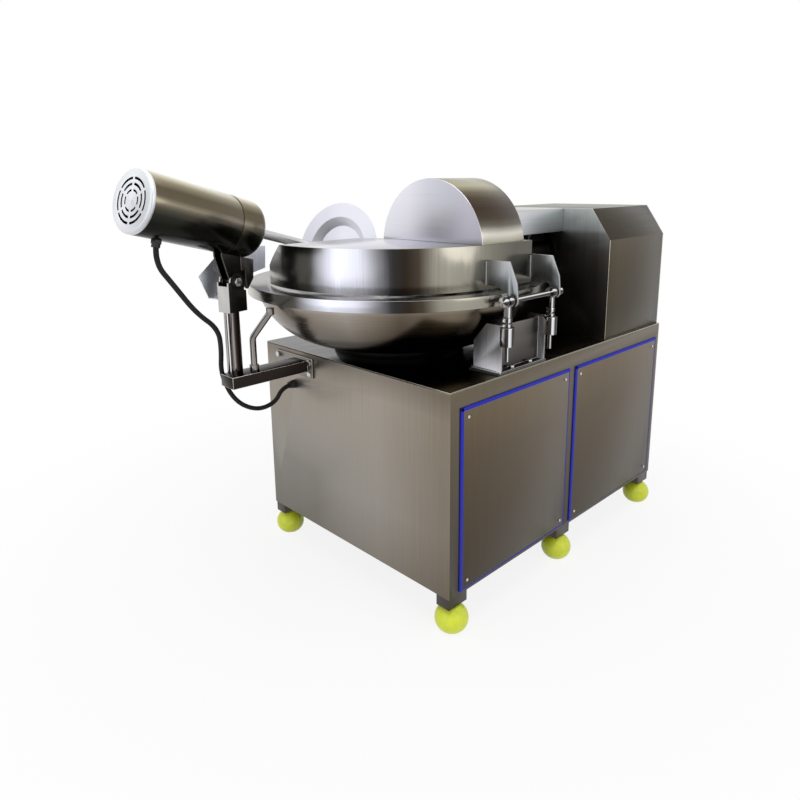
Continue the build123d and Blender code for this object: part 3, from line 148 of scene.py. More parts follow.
def lay_cable(name, route, node):
    """One run of the cable as a smooth tube, and the points that its middle follows."""
    curve = bpy.data.curves.new(name, "CURVE")
    curve.dimensions = "3D"
    curve.resolution_u = 10
    line = curve.splines.new("NURBS")
    line.points.add(len(route) - 1)
    for point, place in zip(line.points, route):
        point.co = (*at(*place), 1)
    line.order_u = 3
    line.use_endpoint_u = True
    piece = bpy.data.objects.new(name, curve)
    bpy.context.scene.collection.objects.link(piece)
    middle = [vertex.co.copy() for vertex in bpy.data.meshes.new_from_object(piece).vertices]
    curve.bevel_depth = CABLE_DIAMETER / 2
    curve.bevel_resolution = 5
    curve.materials.append(cable_rubber)
    bpy.ops.object.select_all(action="DESELECT")
    piece.select_set(True)
    bpy.context.view_layer.objects.active = piece
    bpy.ops.object.convert(target="MESH")
    bpy.ops.object.shade_smooth()
    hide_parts(node)
    return piece, middle


lower_run, lower_middle = lay_cable("cable_lower_run", LOWER_ROUTE, "cable_lower")
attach(lower_run, "root")
upper_run, upper_middle = lay_cable("cable_upper_run", UPPER_ROUTE, "cable_upper")
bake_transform(upper_run)

# ---------------------------------------------------------------- floor and light
# Plain white floor with one large soft light above, one from the operator's side and a weak fill.
# The floor shows the object's shadow near the machine and is plain white further out.
FLOOR_REACH = 30
SHADOW_NEAR, SHADOW_FAR = 0.8, 2.2     # metres from the middle over which the shadow fades out
floor_corners = [(x * FLOOR_REACH, y * FLOOR_REACH, 0) for x, y in ((-1, -1), (1, -1), (1, 1), (-1, 1))]
floor_mesh = bpy.data.meshes.new("floor")
floor_mesh.from_pydata(floor_corners, [], [(0, 1, 2, 3)])
floor = bpy.data.objects.new("floor", floor_mesh)
bpy.context.scene.collection.objects.link(floor)


def seen_directly(tree):
    """1 for what the camera sees, also in metal and through glass, so that the background is white."""
    rays = add_node(tree, "ShaderNodeLightPath")
    seen = rays.outputs["Is Camera Ray"]
    for kind in ("Is Glossy Ray", "Is Transmission Ray"):
        either = add_node(tree, "ShaderNodeMath", {0: seen, 1: rays.outputs[kind]}, operation="MAXIMUM")
        seen = either.outputs[0]
    return seen


floor_paint = bpy.data.materials.new("floor_white")
floor_paint.use_nodes = True
tree = floor_paint.node_tree
tree.nodes.clear()
matt = add_node(tree, "ShaderNodeBsdfDiffuse", Color=linear("#f6f6f6"))
glow = add_node(tree, "ShaderNodeEmission", Strength=1.0)
seen = seen_directly(tree)
place = add_node(tree, "ShaderNodeTexCoord")
reach = add_node(tree, "ShaderNodeVectorMath", {0: place.outputs["Object"]}, operation="LENGTH")
plain = add_node(tree, "ShaderNodeMapRange",
                 {0: reach.outputs["Value"], 1: SHADOW_NEAR, 2: SHADOW_FAR, 3: 0.86, 4: 1.0},
                 interpolation_type="SMOOTHSTEP")
part_seen = add_node(tree, "ShaderNodeMath", {0: seen, 1: plain.outputs[0]}, operation="MULTIPLY")
both = add_node(tree, "ShaderNodeMixShader",
                {0: part_seen.outputs[0], 1: matt.outputs[0], 2: glow.outputs[0]})
add_node(tree, "ShaderNodeOutputMaterial", {0: both.outputs[0]})
floor.data.materials.append(floor_paint)

world = bpy.data.worlds.new("studio")
bpy.context.scene.world = world
world.use_nodes = True
tree = world.node_tree
tree.nodes.clear()
soft = add_node(tree, "ShaderNodeBackground", Color=linear("#ffffff"), Strength=0.55)
white = add_node(tree, "ShaderNodeBackground", Color=linear("#ffffff"), Strength=1.0)
both = add_node(tree, "ShaderNodeMixShader",
                {0: seen_directly(tree), 1: soft.outputs[0], 2: white.outputs[0]})
add_node(tree, "ShaderNodeOutputWorld", {0: both.outputs[0]})


def soft_light(name, place, aim, size, power):
    """A round soft box; its size is in metres and its power in watts."""
    lamp = bpy.data.lights.new(name, "AREA")
    lamp.shape = "DISK"
    lamp.size = size
    lamp.energy = power
    piece = bpy.data.objects.new(name, lamp)
    bpy.context.scene.collection.objects.link(piece)
    direction = Vector(aim) - Vector(place)
    piece.matrix_world = Matrix.Translation(place) @ direction.to_track_quat("-Z", "Y").to_matrix().to_4x4()


MIDDLE = (0, 0, 0.8)
soft_light("overhead", (0.3, -0.6, 4.2), MIDDLE, size=3.0, power=60)
soft_light("front", (0.4, -4.2, 1.6), MIDDLE, size=5.0, power=28)
soft_light("side", (4.2, 0.4, 2.4), MIDDLE, size=2.2, power=20)


# ---------------------------------------------------------------- cabinet
# Folded sheets of brushed stainless steel on a welded frame of square tube, with a deck plate on
# top.  The service panels on the right side are darker, as they face away from the light.
def polar(tree, place, centre, axis, zero):
    """Distance from an axis, place along it and angle about it in degrees, as sockets."""
    axis, zero = Vector(axis), Vector(zero)
    offset = add_node(tree, "ShaderNodeVectorMath", {0: place, 1: centre}, operation="SUBTRACT")
    dots = [add_node(tree, "ShaderNodeVectorMath", {0: offset.outputs[0], 1: direction},
                     operation="DOT_PRODUCT").outputs["Value"]
            for direction in (zero, axis.cross(zero), axis)]
    angle = add_node(tree, "ShaderNodeMath", {0: dots[1], 1: dots[0]}, operation="ARCTAN2")
    degrees = add_node(tree, "ShaderNodeMath", {0: angle.outputs[0]}, operation="DEGREES")
    across = add_node(tree, "ShaderNodeCombineXYZ", {0: dots[0], 1: dots[1]})
    out = add_node(tree, "ShaderNodeVectorMath", {0: across.outputs[0]}, operation="LENGTH")
    return out.outputs["Value"], dots[2], degrees.outputs[0]


NOISE_LINES = 1320     # noise scale at which a stretched line is 1 mm wide
LENGTHWISE = 2.0       # scale along straight lines, which gives strokes about half a metre long
ROUNDWISE = 0.04       # scale per degree along round lines, for strokes of about 25 degrees


def brushed_steel(name, tones, along=(0, 0, 1), about=None, lines="Z", line_mm=5.0, rough=0.3,
                  streak=0.10, shade=None, shade_along=(0, 0, 1)):
    """Stainless steel brushed along one axis, or round one, whose tone follows the surface.

    tones lists places and colours, mostly painted reflection and painted shade: millimetres along a
    direction, or degrees about an axis.
    shade lists a second set, of painted shade, that multiplies the first.  Lines are drawn coarser than real
    ones.
    """
    made, tree, shader = new_material(name)
    where = add_node(tree, "ShaderNodeTexCoord").outputs["Object"]
    fine = NOISE_LINES / line_mm
    radius, level, degrees = polar(tree, where, *about) if about else (None, None, None)
    if lines == "round":
        stretched = add_node(tree, "ShaderNodeCombineXYZ", {
            axis: add_node(tree, "ShaderNodeMath", {0: measure, 1: scale}, operation="MULTIPLY").outputs[0]
            for axis, (measure, scale) in enumerate(((radius, fine), (level, fine), (degrees, ROUNDWISE)))})
    else:
        scale = [LENGTHWISE if letter == lines else fine for letter in "XYZ"]
        stretched = add_node(tree, "ShaderNodeMapping", {"Vector": where, "Scale": scale})
    brush = add_node(tree, "ShaderNodeTexNoise", {"Vector": stretched.outputs[0]}, Scale=1.0, Detail=2.0)
    cloud = add_node(tree, "ShaderNodeTexNoise", {"Vector": where}, Scale=4.0, Detail=2.0)

    def toned(stops, direction, measure=None):
        """The colour at a place, read from the stops and drifting a little as hand finishing does."""
        if measure is None:
            drift = 0.05
            offset = add_node(tree, "ShaderNodeVectorMath", {0: where, 1: FOOTPRINT}, operation="SUBTRACT")
            far = add_node(tree, "ShaderNodeVectorMath", {0: offset.outputs[0], 1: Vector(direction) * 1000},
                           operation="DOT_PRODUCT")
            measure = far.outputs["Value"]
        else:
            drift = 0.015
        first, last = stops[0][0], stops[-1][0]
        share = add_node(tree, "ShaderNodeMapRange", {0: measure, 1: first, 2: last})
        wander = add_node(tree, "ShaderNodeMath", {0: cloud.outputs[0], 1: drift, 2: share.outputs[0]},
                          operation="MULTIPLY_ADD")
        band = add_node(tree, "ShaderNodeValToRGB", {0: wander.outputs[0]})
        elements = band.color_ramp.elements
        elements[0].color, elements[-1].color = linear(stops[0][1]), linear(stops[-1][1])
        for stop, colour in stops[1:-1]:
            elements.new(min(0.999, (stop - first) / (last - first) + drift / 2)).color = linear(colour)
        return band.outputs[0]

    tone = toned(tones, along, degrees)
    if shade:
        tone = add_node(tree, "ShaderNodeMix", {0: 1.0, 6: tone, 7: toned(shade, shade_along)},
                        data_type="RGBA", blend_type="MULTIPLY").outputs[2]
    grain = add_node(tree, "ShaderNodeMapRange", {0: brush.outputs[0], 1: 0.25, 2: 0.75,
                                                  3: 1 - streak, 4: 1 + streak * 0.6})
    tone = add_node(tree, "ShaderNodeMix", {0: 1.0, 6: tone, 7: grain.outputs[0]},
                    data_type="RGBA", blend_type="MULTIPLY")
    tree.links.new(tone.outputs[2], shader.inputs["Base Color"])
    shader.inputs["Metallic"].default_value = 1.0
    dull = add_node(tree, "ShaderNodeMapRange", {0: brush.outputs[0], 1: 0.2, 2: 0.8,
                                                 3: rough - 0.04, 4: rough + 0.06})
    tree.links.new(dull.outputs[0], shader.inputs["Roughness"])
    bump = add_node(tree, "ShaderNodeBump", {"Height": brush.outputs[0]}, Strength=0.08, Distance=0.0003)
    tree.links.new(bump.outputs[0], shader.inputs["Normal"])
    return made


def plain_steel(name, colour, rough=0.3, lines="Z", line_mm=5.0):
    """Brushed steel of one tone."""
    return brushed_steel(name, [(0, colour), (1300, colour)], rough=rough, lines=lines, line_mm=line_mm)


def dress(name, material, smooth=35, edge_mm=0.0, edge=None, merge=True):
    """A CAD node's own shape with joined faces, soft edges and a finish; it stands for that node.

    A sheet with an opening in a flat face isn't merged, as the merged face would close the opening.
    """
    node = nodes[name]
    copy = bpy.data.objects.new(name + "_finish", node.data.copy())
    bpy.context.scene.collection.objects.link(copy)
    copy.matrix_world = node.matrix_world.copy()
    mesh = bmesh.new()
    mesh.from_mesh(copy.data)
    bmesh.ops.remove_doubles(mesh, verts=mesh.verts, dist=0.00001)
    if merge:
        bmesh.ops.dissolve_limit(mesh, angle_limit=math.radians(0.3), verts=mesh.verts, edges=mesh.edges)
    mesh.to_mesh(copy.data)
    mesh.free()
    copy.data.materials.clear()
    copy.data.materials.append(material)
    bpy.ops.object.select_all(action="DESELECT")
    copy.select_set(True)
    bpy.context.view_layer.objects.active = copy
    if edge_mm:
        bevel = copy.modifiers.new("edge", "BEVEL")
        bevel.width = edge_mm / 1000
        bevel.segments = 2
        bevel.limit_method = "ANGLE"
        bevel.angle_limit = math.radians(40)
        if edge:
            copy.data.materials.append(edge)
            bevel.material = 1
        bpy.ops.object.modifier_apply(modifier=bevel.name)
    bpy.ops.object.shade_smooth_by_angle(angle=math.radians(smooth))
    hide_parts(name)
    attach(copy, BODY_OF[name])
    return copy


def finish_faces(piece, material, wanted):
    """Gives another finish to the faces whose middle (in millimetres) and normal are wanted."""
    piece.data.materials.append(material)
    index = len(piece.data.materials) - 1
    for face in piece.data.polygons:
        if wanted((face.center - FOOTPRINT) * 1000, face.normal):
            face.material_index = index


# Brushed sheet with fine upright lines, satin and warm grey; folded edges carry a painted highlight.
folded_edge_highlight = plain_steel("stainless_folded_edge_highlight", "#a9a498", rough=0.22)
# The front, left and rear panels carry painted shade, darker at the bottom, at the top and towards the ends.
front_steel = brushed_steel(
    "stainless_front_panel", [(128, "#80796f"), (330, "#99938b"), (700, "#a1998e"), (790, "#8a8278")],
    shade=[(-465, "#f4f4f4"), (150, "#ffffff"), (465, "#dcd6ce")], shade_along=(1, 0, 0), rough=0.36)
# The service panels are painted darker as painted shade, and darker still towards the bottom and the ends.
service_steel = brushed_steel(
    "stainless_service_panel", [(128, "#4b443a"), (300, "#574f44"), (560, "#665c4f"), (790, "#7a6e5d")],
    shade=[(-655, "#e6e0d8"), (-150, "#ffffff"), (60, "#ffffff"), (655, "#efe9e0")],
    shade_along=(0, 1, 0), rough=0.34)
# The frame is painted dark as painted shade, darker towards the bottom.
frame_steel = brushed_steel(
    "stainless_cabinet_frame", [(90, "#45403a"), (300, "#524c43"), (790, "#6a6152")], rough=0.34)
# The deck is smoother and lies in the bowl's shade, so it is nearly black but for its right edge.
deck_steel = brushed_steel(
    "stainless_deck",
    [(-465, "#3d3b38"), (-100, "#242220"), (300, "#262321"), (400, "#4c463d"), (465, "#7b7464")],
    along=(1, 0, 0), lines="Y", rough=0.2, streak=0.05)
for name in ("front_panel", "left_panel", "rear_panel"):
    dress(name, front_steel, edge_mm=0.8)
for name in ("service_panel_front", "service_panel_rear"):
    dress(name, service_steel, edge_mm=1.2, edge=folded_edge_highlight)
for name in ("cabinet_frame", "right_side_frame"):
    dress(name, frame_steel, edge_mm=0.8)
dress("top_plate", deck_steel, edge_mm=1.2, edge=folded_edge_highlight)

# Blue silicone seal, dull and even; its lower and right edges are hidden under the panels.
seal_blue = rubber("rubber_blue_seal", "#0a1cae", rough=0.7)
seal_dark = rubber("rubber_seal_shaded", "#2a2621")
seals = dress("panel_seals", seal_blue, edge_mm=0.6)
SEAL_RIGHT_EDGES, SEAL_LOW_EDGE, SEAL_REACH = (-26.5, 627), 138, 8
finish_faces(seals, seal_dark, lambda place, normal: place.z < SEAL_LOW_EDGE + SEAL_REACH
             or any(abs(place.y - edge) < SEAL_REACH - 1 for edge in SEAL_RIGHT_EDGES))
LIP_OUT, LIP_OVER, LIP_UP = 9, 5, 7            # past the panel's left edge, over it, above it
LIP_MIDDLE_X, LIP_THICKNESS, LIP_ROUNDING = 466.5, 0.005, 0.002


def seal_lip(name, along_y, along_z):
    """The part of a seal that shows past a panel's edge, as a rounded strip; ranges in millimetres."""
    bpy.ops.object.select_all(action="DESELECT")
    bpy.ops.mesh.primitive_cube_add(size=1, location=at(LIP_MIDDLE_X, sum(along_y) / 2, sum(along_z) / 2))
    piece = bpy.context.object
    piece.name = name
    piece.scale = (LIP_THICKNESS, (along_y[1] - along_y[0]) / 1000, (along_z[1] - along_z[0]) / 1000)
    bpy.ops.object.transform_apply(location=True, rotation=True, scale=True)
    rounding = piece.modifiers.new("rounding", "BEVEL")
    rounding.width = LIP_ROUNDING
    rounding.segments = 3
    bpy.ops.object.modifier_apply(modifier=rounding.name)
    bpy.ops.object.shade_smooth_by_angle(angle=math.radians(50))
    piece.data.materials.append(seal_blue)
    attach(piece, "root")


seal_points = [(vertex.co - FOOTPRINT) * 1000 for vertex in seals.data.vertices]
for side, is_rear in (("front", False), ("rear", True)):
    ring = [point for point in seal_points if (point.y > SEAL_RIGHT_EDGES[0] + SEAL_REACH) == is_rear]
    left_y, right_y = min(point.y for point in ring), max(point.y for point in ring)
    low_z, high_z = min(point.z for point in ring), max(point.z for point in ring)
    seal_lip(f"seal_lip_{side}_upright", (left_y - LIP_OUT, left_y + LIP_OVER), (low_z, high_z + LIP_UP))
    seal_lip(f"seal_lip_{side}_top", (left_y - LIP_OUT, right_y), (high_z - LIP_OVER, high_z + LIP_UP))

# Zinc-plated screws and turned shafts: pale, with small clear highlights.
bright = plain_steel("bright_zinc_steel", "#c9c9c9", rough=0.2, line_mm=3)
dress("panel_screws", bright)

# ---------------------------------------------------------------- feet
# Six levelling feet: yellow-green plastic balls, flattened below, on threaded studs.  They are
# moulded in polypropylene, which is bright, with a soft shine and faint mottling.
foot_plastic = rubber("plastic_foot_green", "#dde83a", grain_mm=4, rough=0.3)
dress("levelling_feet", foot_plastic)

# ---------------------------------------------------------------- bowl
# Spun stainless trough with a raised rim, brushed round.  Its outer skin carries painted shade, and both
# are painted with upright light and dark bands of painted reflection, as polished round sheet shows in a
# workshop.
BOWL_MIDDLE = Vector((-82, -331))
BOWL_AXIS = (at(*BOWL_MIDDLE, 0), (0, 0, 1), (0, -1, 0))
ROUND_REFLECTION_BANDS = [(-180, "#6b665c"), (-130, "#8a857a"), (-80, "#5f5a50"), (-40, "#ccc8bf"), (-18, "#b8b4aa"),
               (-7, "#8f8f8a"), (2, "#403f3b"), (11, "#4d4c47"), (18, "#b6b8c1"), (24, "#e5e8f5"),
               (33, "#cccdd8"), (39, "#85858a"), (44, "#353537"), (49, "#302922"), (54, "#4a433a"),
               (59, "#948f83"), (65, "#a09c90"), (77, "#938f84"), (86, "#7a776e"), (98, "#5f5d55"),
               (120, "#4d4a3f"), (180, "#6b665c")]
SKIN_REFLECTION_BANDS = [(-180, "#8a8177"), (-60, "#a79d92"), (0, "#8f857a"), (27, "#b9b4ad"), (38, "#958b80"),
              (47, "#6d6359"), (64, "#8b8272"), (82, "#6f6658"), (110, "#5d5347"), (180, "#8a8177")]
# Polished round sheet, painted with tall bands of painted reflection; the skin under the rim is satin, with
# painted shade that darkens it lower down.
bowl_steel = brushed_steel(
    "stainless_bowl_rim", ROUND_REFLECTION_BANDS, about=BOWL_AXIS, lines="round", rough=0.2, streak=0.04)
# The rim's top faces are painted pale blue-grey as a painted highlight.
rim_top_highlight = plain_steel("stainless_rim_top", "#c2c6d2", rough=0.2)
trough_steel = plain_steel("stainless_trough", "#8f8c88", rough=0.25)
skin_steel = brushed_steel(
    "stainless_bowl_skin", SKIN_REFLECTION_BANDS, about=BOWL_AXIS, lines="round", rough=0.24, streak=0.07,
    shade=[(818, "#3c3733"), (869, "#6b655e"), (930, "#b4afa9"), (985, "#dedad6"), (1005, "#ffffff")])
RIM_TOP, RIM_RADIUS, RIM_WALL, RIM_ROLL = 1041, 535, 9, 8
bowl = dress("bowl", bowl_steel, edge_mm=1.0)
# Upward faces round the rim's top get the painted highlight.
finish_faces(bowl, rim_top_highlight, lambda place, normal: normal.z > 0.7 and place.z > RIM_TOP - RIM_ROLL)
finish_faces(bowl, trough_steel,
             lambda place, normal: (place.xy - BOWL_MIDDLE).length < RIM_RADIUS - RIM_WALL)
dress("bowl_skirt", skin_steel)

# ---------------------------------------------------------------- drives
# The bowl turns on a cast pedestal with a geared motor, and the knives are driven by belts from the
# blade motor in the cabinet.  These pieces are cast, turned or moulded, and hidden in use.

# Cast iron with a dark primer: nearly black and satin.
dark_iron = plain_steel("iron_dark", "#1d1a19", rough=0.4)
for name in ("bowl_pedestal", "motor_base", "motor_pulley", "spindle_pulley"):
    dress(name, dark_iron, edge_mm=0.6)
for name in ("bowl_shaft", "bowl_bearings", "spindle_bearings"):
    dress(name, bright, edge_mm=0.5)

# Grey-blue machine paint, dull and slightly uneven.
motor_paint = rubber("motor_paint_grey", "#4c5a68")
for name in ("bowl_gearmotor", "blade_motor"):
    dress(name, motor_paint, edge_mm=0.8)

# Moulded black rubber and nylon, as on the belts, the gasket, the knobs and the glands.
black_rubber = rubber("rubber_black", "#121212")
dress("drive_belts", black_rubber, edge_mm=0.4)

# ---------------------------------------------------------------- knives
# Ground sickle blades of hardened steel on a spindle that runs in a cast housing.  Ground steel is
# bright and sharp in its reflections, and the satin casting is painted near-black as painted shade under the
# bridge.
knife_steel = plain_steel("ground_knife_steel", "#cfd1d4", rough=0.16, lines="X")
for name in ("knife_pair_front", "knife_pair_middle", "knife_pair_rear"):
    dress(name, knife_steel, edge_mm=0.8)
for name in ("knife_shaft", "knife_nut"):
    dress(name, bright, edge_mm=0.5)
cast_steel_in_shade = plain_steel("satin_cast_steel", "#1f1e1c", rough=0.4, lines="Y")
dress("spindle_housing", cast_steel_in_shade, edge_mm=1.5)

# ---------------------------------------------------------------- belt housing and bridge
# Welded sheet covers over the belts and the spindle, whose edges are painted bright as a painted highlight.
# The brushed sheet is painted dark and warm on the right side as painted shade; at the front it is greyer,
# with painted shade below and lighter towards the top.
housing_side = brushed_steel(
    "stainless_belt_housing", [(790, "#4e483d"), (900, "#4a4439"), (1080, "#544d41"), (1161, "#5d564a"),
                               (1272, "#6d675c")],
    shade=[(222, "#f2efe8"), (300, "#ffffff"), (500, "#e6e1da"), (648, "#cfcac2")], shade_along=(0, 1, 0),
    rough=0.3)
housing_front = brushed_steel(
    "stainless_housing_front", [(790, "#2f2d2a"), (1000, "#403d39"), (1120, "#504d48"), (1182, "#6f716f"),
                                (1196, "#8f9393"), (1272, "#9ea3a3")], rough=0.42)
chamfer_steel = plain_steel("stainless_housing_shoulder", "#423c33", rough=0.3, lines="Y")
# Pale steel on the bevels of edges, as a painted edge highlight.
edge_highlight_steel = plain_steel("stainless_edge_highlight", "#b9b5aa", rough=0.2)
housing = dress("belt_housing", housing_side, edge_mm=2.0, edge=edge_highlight_steel, merge=False)
finish_faces(housing, housing_front, lambda place, normal: normal.y < -0.9)
finish_faces(housing, chamfer_steel, lambda place, normal: abs(normal.x) > 0.3 and normal.z > 0.3)
dress("belt_housing_cover", housing_side, edge_mm=1.0, edge=edge_highlight_steel)
for name in ("cover_knobs", "lid_sensors"):
    dress(name, black_rubber, edge_mm=0.4)
bridge_side = brushed_steel(
    "stainless_bridge", [(-190, "#b9b9b8"), (-150, "#dcddde"), (-60, "#cdcfd3"), (222, "#c3c7c8")],
    along=(0, 1, 0), lines="Y", rough=0.42)
bridge_top = plain_steel("stainless_bridge_top", "#b5b5b3", rough=0.25, lines="Y")
# Near-black steel: painted shade on the bridge's underside, and the dark seam lines at the ends of the tube
# and collar.
shade_and_seam_steel = plain_steel("stainless_shade_and_seam", "#171614", rough=0.45)
bridge = dress("bridge_cover", bridge_side, edge_mm=2.0, edge=edge_highlight_steel)
finish_faces(bridge, bridge_top, lambda place, normal: normal.z > 0.9)
# The bridge's underside is painted near-black as painted shade.
finish_faces(bridge, shade_and_seam_steel, lambda place, normal: normal.z < -0.9)

# ---------------------------------------------------------------- lid
# Rolled and welded sheet, brushed upright on the band, which is painted with bands of painted reflection.
# The dome's round sheet is painted with warm bands of painted reflection, and its flat front is painted paler
# as painted light, lightest at the left and top.
lid_steel = brushed_steel("stainless_lid_band", ROUND_REFLECTION_BANDS, about=BOWL_AXIS, rough=0.22, streak=0.08)
lid_top = brushed_steel(
    "stainless_lid_top", [(-235, "#9d928f"), (-150, "#c4c4c6"), (-50, "#bebec0"), (20, "#e2e1e6"),
                          (150, "#d3d2da"), (250, "#bebfc0"), (387, "#9d9a8f")],
    along=(1, 0, 0), lines="X", rough=0.25, streak=0.05)
lid = dress("lid_shell", lid_steel, edge_mm=0.8, merge=False)
LID_SHOULDER = 1090
finish_faces(lid, lid_top, lambda place, normal: normal.z > 0.4 and place.z > LID_SHOULDER)
DOME_AXIS = (at(158, 0, 1164), (0, 1, 0), (0, 0, 1))
DOME_FRONT = -400
dome_sheet = brushed_steel(
    "stainless_dome_sheet", [(-180, "#8d887a"), (-90, "#8d887a"), (-40, "#c9c5b6"), (0, "#b3ad98"),
                             (12, "#a09880"), (28, "#ada78b"), (38, "#6a5f4c"), (45, "#4c4235"),
                             (55, "#43372e"), (64, "#4a4339"), (70, "#6b665c"), (77, "#d7d3c8"),
                             (83, "#a39f90"), (90, "#8f8a78"), (180, "#8d887a")],
    about=DOME_AXIS, lines="Y", rough=0.26, streak=0.05)
dome_front = brushed_steel(
    "stainless_dome_front", [(-64, "#f6f6fb"), (60, "#ebeaf3"), (158, "#d2d2dc"), (260, "#bebec9"),
                             (380, "#a9a6b0")],
    along=(1, 0, 0), shade=[(1184, "#ececee"), (1386, "#ffffff")], lines="X", rough=0.34, streak=0.03)
# The welded seam round the front is painted as a bright line of painted highlight.
dome_edge_highlight = plain_steel("stainless_dome_edge", "#d8d6da", rough=0.2)
dome = dress("knife_dome", dome_sheet, edge_mm=1.6, edge=dome_edge_highlight)
finish_faces(dome, dome_front, lambda place, normal: normal.y < -0.9 and place.y < DOME_FRONT)

# ---------------------------------------------------------------- lid hinge
# Laser-cut plates welded to the lid turn on a polished pin.  The pin runs in two eye screws, which
# stand in sleeves on a sheet bracket with a black gasket under it.
# Cut sheet is pale and blue-grey; pin, eyes and sleeves are turned and polished, and painted in tight bands
# of painted reflection.
POLISHED_REFLECTIONS = [(-180, "#6b6562"), (-90, "#a5a2a0"), (-30, "#f0f1f4"), (5, "#8f8c8a"), (18, "#2c2826"),
            (42, "#3a3532"), (50, "#eff0f3"), (66, "#d2d3d6"), (76, "#46413e"), (110, "#2a2523"),
            (140, "#a9a6a3"), (180, "#6b6562")]
hinge_plate = brushed_steel(
    "stainless_hinge_plate", [(1004, "#85888e"), (1062, "#8f959a"), (1140, "#a3a5a8")], rough=0.3)
for name in ("hinge_plate_front", "hinge_plate_rear"):
    dress(name, hinge_plate, edge_mm=1.0, edge=edge_highlight_steel)
PIN_X = 483
PIN_AXIS = (at(PIN_X, 0, 1024), (0, 1, 0), (0, 0, 1))
pin_steel = brushed_steel("polished_hinge_pin", POLISHED_REFLECTIONS, about=PIN_AXIS, lines="Y", rough=0.1, streak=0.03)
dress("hinge_pin", pin_steel, edge_mm=1.5)
# The bracket's sides are painted dark as painted shade, darkest at the bottom, and its front faces are
# painted pale as painted light.
bracket_side_shade = brushed_steel(
    "stainless_bracket", [(796, "#2e2b29"), (860, "#55524f"), (948, "#76736f")], rough=0.3)
bracket_front_lit = brushed_steel(
    "stainless_bracket_front", [(355, "#b0aeb5"), (400, "#bcbdc1"), (466, "#b5b3b9")],
    along=(1, 0, 0), rough=0.3)
bracket = dress("hinge_bracket", bracket_side_shade, edge_mm=1.0, edge=edge_highlight_steel)
finish_faces(bracket, bracket_front_lit, lambda place, normal: normal.y < -0.8)
eyes = dress("hinge_eyes", pin_steel, edge_mm=0.8)
nuts = dress("eye_nuts", bright, edge_mm=0.6)
SLEEVE_REACH, SLEEVE_TOP = 24, 1000
for number, eye_y in enumerate((-418, -190)):
    stem = brushed_steel(f"polished_sleeve_{number + 1}", POLISHED_REFLECTIONS,
                         about=(at(PIN_X, eye_y, 0), (0, 0, 1), (0, -1, 0)), rough=0.12, streak=0.03)

    def round_this_stem(place, normal):
        near = (place.xy - Vector((PIN_X, eye_y))).length < SLEEVE_REACH
        return near and abs(normal.z) < 0.8 and place.z < SLEEVE_TOP

    for piece in (bracket, eyes, nuts):
        finish_faces(piece, stem, round_this_stem)
dress("mounting_bolts", bright, edge_mm=0.6)
dress("bracket_gasket", black_rubber, edge_mm=0.4)

# A weld left as laid: dull grey, of overlapping ripples.
weld_steel = plain_steel("stainless_weld", "#a8a6a3", rough=0.35)
WELD_LOW, WELD_HIGH, WELD_WIDTH = 1064, 1138, 7
RIPPLE_PITCH, RIPPLE_RING, RIPPLE_THICKNESS = 0.45 * WELD_WIDTH, WELD_WIDTH / 4.2, WELD_WIDTH / 4


def weld_bead(name, x, y, body):
    """A row of overlapping ripples, as a hand weld leaves, at a place given in millimetres."""
    first, last = at(x, y, WELD_LOW), at(x, y, WELD_HIGH)
    pitch = RIPPLE_PITCH / 1000
    bpy.ops.object.select_all(action="DESELECT")
    bpy.ops.mesh.primitive_torus_add(major_segments=14, minor_segments=8, major_radius=RIPPLE_RING / 1000,
                                     minor_radius=RIPPLE_THICKNESS / 1000, location=(0, 0, 0))
    piece = bpy.context.object
    piece.name = name
    row = piece.modifiers.new("ripples", "ARRAY")
    row.use_relative_offset = False
    row.use_constant_offset = True
    row.constant_offset_displace = (0, 0, pitch)
    row.count = int((last - first).length / pitch)
    bpy.ops.object.modifier_apply(modifier=row.name)
    bpy.ops.object.shade_smooth()
    aim = (last - first).to_track_quat("Z", "Y").to_matrix().to_4x4()
    piece.data.transform(Matrix.Translation(first) @ aim)
    piece.data.materials.append(weld_steel)
    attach(piece, body)


weld_bead("weld_plate_front", 384, -399.5, "lid")
weld_bead("weld_plate_rear", 388, -173.5, "lid")

# ---------------------------------------------------------------- motor tube
# Rolled tube with a collar round the gearbox and a slotted, bead-blasted end cap.  The polished tube
# is painted with long sharp bands of painted reflection, of a bright room above and a dark one below; the
# pale cap is painted lighter towards the top as painted light.
ARM_AXIS = (at(-240, -903, 1245), (-0.17643, 0.95194, -0.25038), (0.98325, 0.18224, 0.0))
tube_steel = brushed_steel(
    "polished_tube", [(-180, "#77705f"), (-120, "#a39b88"), (-88, "#d6d3c8"), (-70, "#f2eedb"),
                      (-56, "#c9c1aa"), (-44, "#8e8670"), (-28, "#5f5645"), (-12, "#655c4d"),
                      (-3, "#8e8674"), (3, "#6a6254"), (9, "#4c493f"), (20, "#2e2f2a"), (36, "#1f1f1c"),
                      (70, "#1a1917"), (110, "#262421"), (150, "#57503f"), (180, "#77705f")],
    about=ARM_AXIS, lines="round", rough=0.2, streak=0.04)
for name in ("motor_tube", "gearbox_collar"):
    dress(name, tube_steel, edge_mm=2.2, edge=shade_and_seam_steel)
cap_steel = brushed_steel(
    "satin_cap", [(-180, "#e3e4ea"), (-90, "#eef1f4"), (-20, "#d9dcde"), (40, "#c8cacf"), (90, "#dddde4"),
                  (130, "#e9e9f0"), (180, "#e3e4ea")], about=ARM_AXIS, lines="round", rough=0.38, streak=0.03)
dress("vent_cap", cap_steel, edge_mm=0.6)
for name in ("unloader_motor", "motor_cable_gland", "cabinet_cable_gland"):
    dress(name, black_rubber, edge_mm=0.4)

